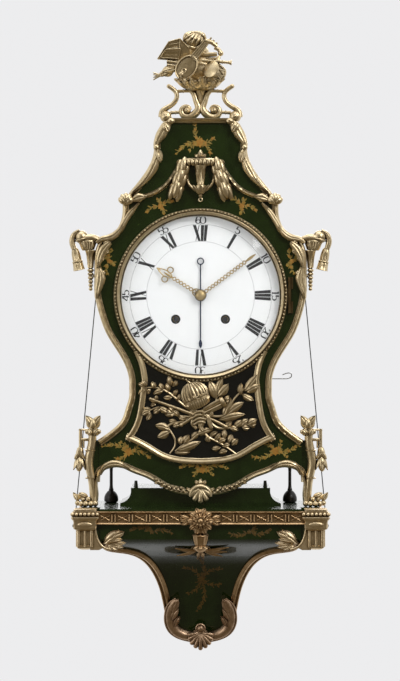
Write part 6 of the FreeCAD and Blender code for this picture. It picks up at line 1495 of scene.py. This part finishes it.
# Door trophy: a straw hat and a quiver on crossed laurel, tied with a ribbon
emblem = Shape()
SPRAY_Y = PANEL_Y - 0.6
LEAVES = (
    # upper left branch, from its tip inwards
    (-83, 178, -93, 168, 8), (-83, 179, -94, 185, 7), (-80, 180, -86, 190, 7), (-75, 177, -80, 168, 7),
    (-67, 177, -73, 188, 8), (-56, 174, -71, 169, 8), (-54, 175, -62, 186, 8), (-48, 172, -51, 186, 8),
    (-44, 181, -47, 197, 8), (-42, 180, -35, 190, 8), (-40, 165, -34, 176, 7), (-35, 159, -31, 169, 7),
    (-42, 165, -56, 163, 8),
    # left, under the staff
    (-64, 157, -76, 160, 7), (-65, 159, -66, 168, 6), (-67, 154, -75, 150, 6), (-73, 146, -87, 147, 7),
    (-75, 144, -89, 137, 8), (-75, 142, -81, 129, 8), (-60, 147, -71, 139, 8), (-48, 142, -62, 150, 9),
    (-39, 138, -54, 138, 9), (-37, 140, -48, 153, 8), (-31, 136, -42, 145, 8), (-35, 127, -48, 130, 8),
    (-31, 123, -42, 120, 8), (-20, 132, -33, 134, 8),
    # lower left
    (-45, 116, -68.5, 122.5, 10.5), (-46, 113, -65, 104, 10.5), (-34, 85, 1, 98, 10.5),
    (-39, 81, -15, 82, 8.5), (-31, 93, -29, 106, 9), (-25, 95, -17, 108, 9), (-14, 102, -3, 113, 9),
    (-6, 108, 19, 117, 9.5),
    # lower right
    (9, 106, 14, 97, 8), (13, 104, 26, 113, 8), (21, 99, 30, 111, 8), (26, 96, 39, 102, 8),
    (32, 91, 45, 95, 8), (30, 89, 16, 87, 7.5), (40, 84, 27, 80.5, 7.5), (36, 101, 36, 117, 9),
    (41.5, 96, 47, 109, 9), (47, 92, 56, 102, 9),
    # right
    (36, 119, 47, 129, 8.5), (44, 118, 57, 115, 9), (51, 120, 62, 130, 9), (60, 122, 72, 131, 9),
    (62, 120, 74, 118, 8.5), (70, 123, 85, 131, 9), (72, 122, 84, 125, 8), (27, 130, 67, 139, 11),
    # upper right
    (34, 136, 45, 164, 11.5), (38, 138, 65, 157, 11.5), (66, 173, 85, 198, 11.5),
    (69, 172, 89, 182, 11), (62, 169, 80, 159, 9.5), (60, 167, 61, 186, 8.5),
    (22.5, 162, 13.5, 189, 12.5), (24, 169, 33, 195, 9.5), (25, 165, 42, 184, 12.5),
)
for k, (x, z, tip_x, tip_z, wide) in enumerate(LEAVES):
    lift = 0.7 * (k % 3)
    emblem.leaf((x, SPRAY_Y - lift, z), (tip_x, SPRAY_Y - lift - 0.4, tip_z), wide * 1.14, 3.8,
                bend=0.8 * (k % 2 * 2 - 1), curl=1.2)
STEMS = (
    ((-8, 139), (-31, 157), (-48, 171), (-65, 178), (-84, 178)),
    ((-8, 135), (-40, 139), (-62, 149), (-76, 144)),
    ((-12, 130), (-34, 126), (-48, 121), (-40.5, 106), (-38.5, 91), (-46, 80)),
    ((14, 142), (22.5, 155), (25, 172)),
    ((14, 136), (36, 138), (49, 159), (64, 175), (76, 186)),
    ((12, 131), (24, 119), (45, 118.5), (66, 123), (78, 126)),
    ((2, 122), (8, 108), (24, 98), (54, 78.5)),
    ((4, 124), (-6, 106), (-24, 94), (-38, 83)),
)
STEM_STEP = 1.6
for points in STEMS:
    line = spline(at_depth(points, SPRAY_Y - 1.0), STEM_STEP)
    emblem.tube(line, np.linspace(2.4, 1.2, len(line)), 8)

HAT = vec(-8.5, PANEL_Y - 0.8, 167.8)
CROWN_R, CROWN_DEPTH, BAND_TILT = 19.4, 8.0, -0.43
hat_up = unit((-0.42, 0, 1.0))
hat_side = unit(np.cross(hat_up, OUT))


def on_crown(tilt, a, proud=1.0):
    """A point of the hat's crown: tilt from its middle up to the top, a round from side to side."""
    half = CROWN_R * cos(tilt) * proud
    depth = CROWN_DEPTH / CROWN_R * half * max(sin(a), 0.0)
    return HAT + hat_up * CROWN_R * sin(tilt) * proud + hat_side * half * cos(a) + OUT * depth


emblem.loft([[on_crown(tilt, a) for a in angles(44)] for tilt in np.linspace(BAND_TILT, 1.5, 12)])
for k in range(11):
    a = pi * (k + 0.5) / 11
    emblem.tube([on_crown(tilt, a, 1.02) for tilt in np.linspace(BAND_TILT, 1.46, 10)],
                np.linspace(2.1, 0.7, 10), 8)
brim_edge = []
for k in range(15):
    a = pi * (k + 0.5) / 15
    start = on_crown(BAND_TILT, a)
    end = start - hat_up * (5 + 7 * sin(a)) - OUT * (1.0 + 1.5 * sin(a))
    emblem.tube([start, (start + end) / 2 + OUT * 1.4, end], [2.2, 2.6, 1.9], 8)
    brim_edge.append(end)
emblem.tube(spline(brim_edge, CAST_STEP), 1.5, 8)
for tilt, thick in ((BAND_TILT, 2.2), (BAND_TILT + 0.22, 1.3)):
    emblem.tube([on_crown(tilt, a, 1.05) for a in np.linspace(0, pi, 24)], thick, 8)
for a in (1.2, 1.6, 2.0):
    emblem.leaf(on_crown(BAND_TILT, a, 1.1), on_crown(BAND_TILT + 0.5, a + 0.15, 1.12), 5.5, 2.4)
tuft = [
    HAT + hat_up * 19 + OUT,
    HAT + hat_up * 23 - hat_side * 2 + OUT,
    HAT + hat_up * 27 - hat_side * 3.5,
]
emblem.tube(tuft, [2.0, 1.5, 1.0], 8)

QUIVER_FOOT, QUIVER_MOUTH = vec(1.6, PANEL_Y - 3.0, 140.5), vec(37.5, PANEL_Y - 3.5, 159.0)
quiver_way = unit(QUIVER_MOUTH - QUIVER_FOOT)
quiver = [
    (3.4, 0), (5.6, 1.2), (5.8, 3), (5.0, 4), (6.2, 6), (7.0, 20), (7.4, 32), (8.6, 33.4), (8.8, 36),
    (8.2, 38), (6.6, 39), (5.6, 36), (1, 36),
]
emblem.lathe(QUIVER_FOOT, quiver_way, quiver, 48, 12, 1.5, (5.5, 32.5))
for a in angles(6):
    shaft = QUIVER_MOUTH + 3.8 * around(UP, np.cross(quiver_way, UP), a)
    emblem.leaf(shaft - quiver_way * 3, shaft + quiver_way * 7, 4.6, 2.2)
STAFFS = (
    ([(-75, 161.6), (-40, 149), (-7.5, 137)], [1.8, 2.4, 2.8]),
    ([(-29, 122.5), (-21, 127.5), (-13, 133)], [2.6, 2.5, 2.3]),
    ([(12, 133), (25, 127), (38, 120)], [2.3, 2.5, 2.6]),
)
for path, radii in STAFFS:
    line = at_depth(path, PANEL_Y - 3.4)
    emblem.tube(line, radii, 12)
    for end in (0, 2):
        emblem.ball(line[end], radii[end] + 0.5, sides=12, rows=8)
RIBBONS = (
    ([(1, 140), (-7, 135), (-11.5, 126), (-6, 117)], [5, 8, 8, 5]),
    ([(1, 140), (5, 131), (0, 122), (4, 114)], [5, 8, 8.5, 6]),
    ([(2, 140), (11, 134), (13.5, 126), (17, 117.5)], [5, 8, 7.5, 5]),
    ([(0, 139), (-9, 143), (-14, 139.5), (-8, 134.5), (0, 138)], [4, 7, 7.5, 6, 4]),
    ([(2, 139), (11, 143.5), (16, 139.5), (10, 135), (2, 138)], [4, 7, 7.5, 6, 4]),
)
for k, (path, widths) in enumerate(RIBBONS):
    strap(emblem, at_depth(path, PANEL_Y - 3.0 - 0.6 * (k % 3)), widths, 2.6, groove=0.3)
FOLDS = (
    (-12, 137, -3, 142.5, 7, 141), (-13, 132, -3, 137.5, 8.5, 136), (-12, 127, -2.5, 132, 8.5, 131),
    (-10, 122.5, -2, 127, 7, 126),
)
for x0, z0, x1, z1, x2, z2 in FOLDS:
    strap(emblem, at_depth([(x0, z0), (x1, z1), (x2, z2)], PANEL_Y - 4.4), [4, 6, 4], 2.8)
mount("door_trophy_laurel", emblem, "door_trophy", old_gilt, "door")


# Lacquered corners of the case's hips and of the console's frieze, behind the feet and the blocks
lacquered = Shape()
HIP_CORNER = [
    (150, 99), (157.5, 99.5), (159.5, 90), (161.5, 80), (163, 70), (162, 58), (159, 46), (152, 38),
    (150, 60),
]
lacquered.prism(at_depth(HIP_CORNER, -119), 4.5)
lacquered.prism([(147, -150, -58), (160, -150, -58), (160, -150, -23), (147, -150, -23)], 22)
lacquered.mirrored()
make("lacquered_corners", lacquered, green)


# Flowers painted in gold on the lacquer
PAINT_RISE, STEM_BOW, STEM_WIDE = 0.22, 0.16, 1.1
LEAF_PITCH, LEAF_FORWARD, LEAF_WIDE = 3.6, 0.78, 2.2
FLORET_R, FLORET_WIDE = 2.8, 1.9


def painted_spray(leaves, flowers, centre, reaches, place, petals, size):
    """A blossom with stems of brushed leaves; place(x, z, proud) puts a point on the lacquer."""
    cx, cz = centre

    def dab(shape, x, z, tip_x, tip_z, width, rise=PAINT_RISE):
        base, tip = place(x, z, 0.02), place(tip_x, tip_z, 0.02)
        out = place(x, z, 1.0) - place(x, z, 0.0)
        shape.leaf(base, tip, width, rise, out, back=0.1)

    for n, (dx, dz) in enumerate(reaches):
        length = hypot(dx, dz)
        ux, uz = dx / length, dz / length
        bow = STEM_BOW * length * (1 if n % 2 else -1)
        count = max(4, int(length / LEAF_PITCH))
        last = (cx, cz)
        for k in range(1, count + 1):
            t = k / count
            lean = bow * sin(pi * t)
            x, z = cx + dx * t - uz * lean, cz + dz * t + ux * lean
            dab(leaves, last[0], last[1], x + 0.5 * ux, z + 0.5 * uz, STEM_WIDE)
            reach = 7.4 - 2.8 * t + 1.6 * sin(2.3 * k + n)
            for way in (-1, 1):
                lean_out = 0.5 + 0.25 * sin(3.1 * k + way)
                tip_x = x + reach * (LEAF_FORWARD * ux - way * lean_out * uz)
                tip_z = z + reach * (LEAF_FORWARD * uz + way * lean_out * ux)
                dab(leaves, x, z, tip_x, tip_z, LEAF_WIDE + 0.5 * cos(1.7 * k))
            if k % 3 == 2:
                for a in angles(5, n + k):
                    dab(flowers, x, z, x + FLORET_R * cos(a), z + FLORET_R * sin(a), FLORET_WIDE)
            last = (x, z)
        dab(flowers, last[0], last[1], last[0] + 4 * ux, last[1] + 4 * uz, LEAF_WIDE)
    for row, share in enumerate((1.0, 0.62)):
        for a in angles(petals, 0.3 + row * 0.5):
            dab(flowers, cx, cz, cx + size * share * cos(a), cz + size * share * sin(a),
                size * 0.62 * share, PAINT_RISE + 0.1 * row)


def on_front(x, z, proud=0.0):
    return vec(x, FRONT_Y - proud, z)


sprays, blossoms = Shape(), Shape()
CASE_SPRAYS = (
    ((-1, 546), ((-34, -16), (-6, 24), (19, 6), (15, -15), (-14, -10)), 8),
    ((-60, 450), ((-20, -8), (17, 8), (-4, 10), (4, -9)), 5),
    ((62, 451), ((-20, 11), (20, -6), (2, 10), (-2, -10)), 5),
    ((-137, 368), ((-3, -17), (3, 16), (-6, 5), (6, -5)), 4),
    ((137, 368), ((3, -17), (-3, 16), (6, 5), (-6, -5)), 4),
    ((-108, 82), ((-38, 8), (30, -8), (14, 10), (-16, -10), (-10, 13)), 7),
    ((112, 83), ((36, 12), (-32, -8), (-14, 10), (16, -8), (8, 13)), 7),
    ((3, 55), ((-32, 4), (36, 2), (-12, -8), (14, -7), (0, 9)), 6),
)
for centre, reaches, size in CASE_SPRAYS:
    painted_spray(sprays, blossoms, centre, reaches, on_front, 7, size)
make("painted_sprays_case", sprays, gold_paint, sharp=60)
make("painted_blossoms_case", blossoms, blossom_paint, sharp=60)

faded, faded_blossoms = Shape(), Shape()
painted_spray(faded, faded_blossoms, (1, -112),
              ((-1, 32), (-6, -50), (-24, 18), (30, 16), (28, -8), (-18, -22)), on_cove, 7, 7)
for way in (-1, 1):
    painted_spray(faded, faded_blossoms, (way * 72, -34),
                  ((way * 30, 3), (way * -28, -2), (way * 8, 7)), on_cove, 5, 4)
make("painted_sprays_console", faded, faded_paint, sharp=60)
make("painted_blossoms_console", faded_blossoms, faded_paint, sharp=60)


# Stage, light and camera
CAMERA_DISTANCE, SENSOR = 3.4, 36
FIELD_HEIGHT = 1.0215
VIEW_CENTRE = (-0.0008, 0.249)
FLOOR_Y, FLOOR_Z, FLOOR_RADIUS = 1.5, -0.75, 1.35
BACKGROUND = (0.845, 0.845, 0.855, 1)
DIM_ROOM, PALE_ROOM = (0.145, 0.12, 0.08, 1), (0.88, 0.88, 0.88, 1)
PALE_SIDE, DIM_UP_TO, PALE_FROM = (0.0, 0.85, 0.53), -0.45, 0.1
LAMP_TARGET = Vector((0, -0.1, 0.25))
LAMPS = (
    ("key", (1.5, -2.3, 1.9), (1.1, 1.1), 31),
    ("fill", (-2.1, -1.9, 0.7), (1.4, 1.8), 14),
    ("top", (-0.2, -0.5, 2.3), (1.6, 1.0), 11),
    ("back", (0.4, 2.4, 1.5), (1.8, 1.8), 30),
)


def stage_floor():
    mesh = bpy.data.meshes.new("studio_floor")
    work = bmesh.new()
    bmesh.ops.create_circle(work, cap_ends=True, segments=96, radius=FLOOR_RADIUS)
    work.to_mesh(mesh)
    work.free()
    floor = placed("studio_floor", mesh)
    floor.location = (0, FLOOR_Y, FLOOR_Z)
    f = Finish("studio_paper")
    f.drive("Base Color", f.ramp(f.noise(3, 2), (0.3, 0.69), (0.7, 0.72)))
    f.drive("Roughness", f.ramp(f.noise(40, 2), (0.3, 0.8), (0.7, 0.9)))
    mesh.materials.append(f.material)


def studio_world():
    """Pale to the camera and through glass. Everything else meets a room that is pale towards the
    wall and above, and dim and warm in front and below; the lamps do most of the lighting."""
    world = bpy.data.worlds.new("studio")
    world.use_nodes = True
    bpy.context.scene.world = world
    net = Nodes(world.node_tree)
    ray = net.add("ShaderNodeLightPath").outputs
    shown = net.add("ShaderNodeMath", {0: ray["Is Camera Ray"], 1: ray["Is Transmission Ray"]},
                    operation="MAXIMUM").outputs[0]
    way = net.add("ShaderNodeTexCoord").outputs["Generated"]
    towards = net.add("ShaderNodeVectorMath", {0: way, 1: PALE_SIDE}, operation="DOT_PRODUCT")
    shade = net.add("ShaderNodeMapRange", {
        "Value": towards.outputs["Value"], "From Min": DIM_UP_TO, "From Max": PALE_FROM,
        "To Min": 0.0, "To Max": 1.0,
    }).outputs[0]
    tone = net.mix(shown, net.mix(shade, DIM_ROOM, PALE_ROOM), BACKGROUND)
    net.tree.links.new(tone, net.tree.nodes["Background"].inputs["Color"])


def photo_camera():
    data = bpy.data.cameras.new("camera")
    data.sensor_width = SENSOR
    data.lens = SENSOR * CAMERA_DISTANCE / FIELD_HEIGHT
    camera = placed("camera", data)
    camera.location = (VIEW_CENTRE[0], FRONT_Y * MM - CAMERA_DISTANCE, VIEW_CENTRE[1])
    camera.rotation_euler = (pi / 2, 0, 0)
    bpy.context.scene.camera = camera


def soft_light(name, place, size, power):
    lamp = bpy.data.lights.new(name, "AREA")
    lamp.shape = "RECTANGLE"
    lamp.size, lamp.size_y = size
    lamp.energy = power
    holder = placed(name, lamp)
    holder.location = place
    holder.rotation_euler = (LAMP_TARGET - Vector(place)).to_track_quat("-Z", "Y").to_euler()


stage_floor()
studio_world()
photo_camera()
for lamp in LAMPS:
    soft_light(*lamp)
bpy.context.scene.view_settings.view_transform = "Standard"
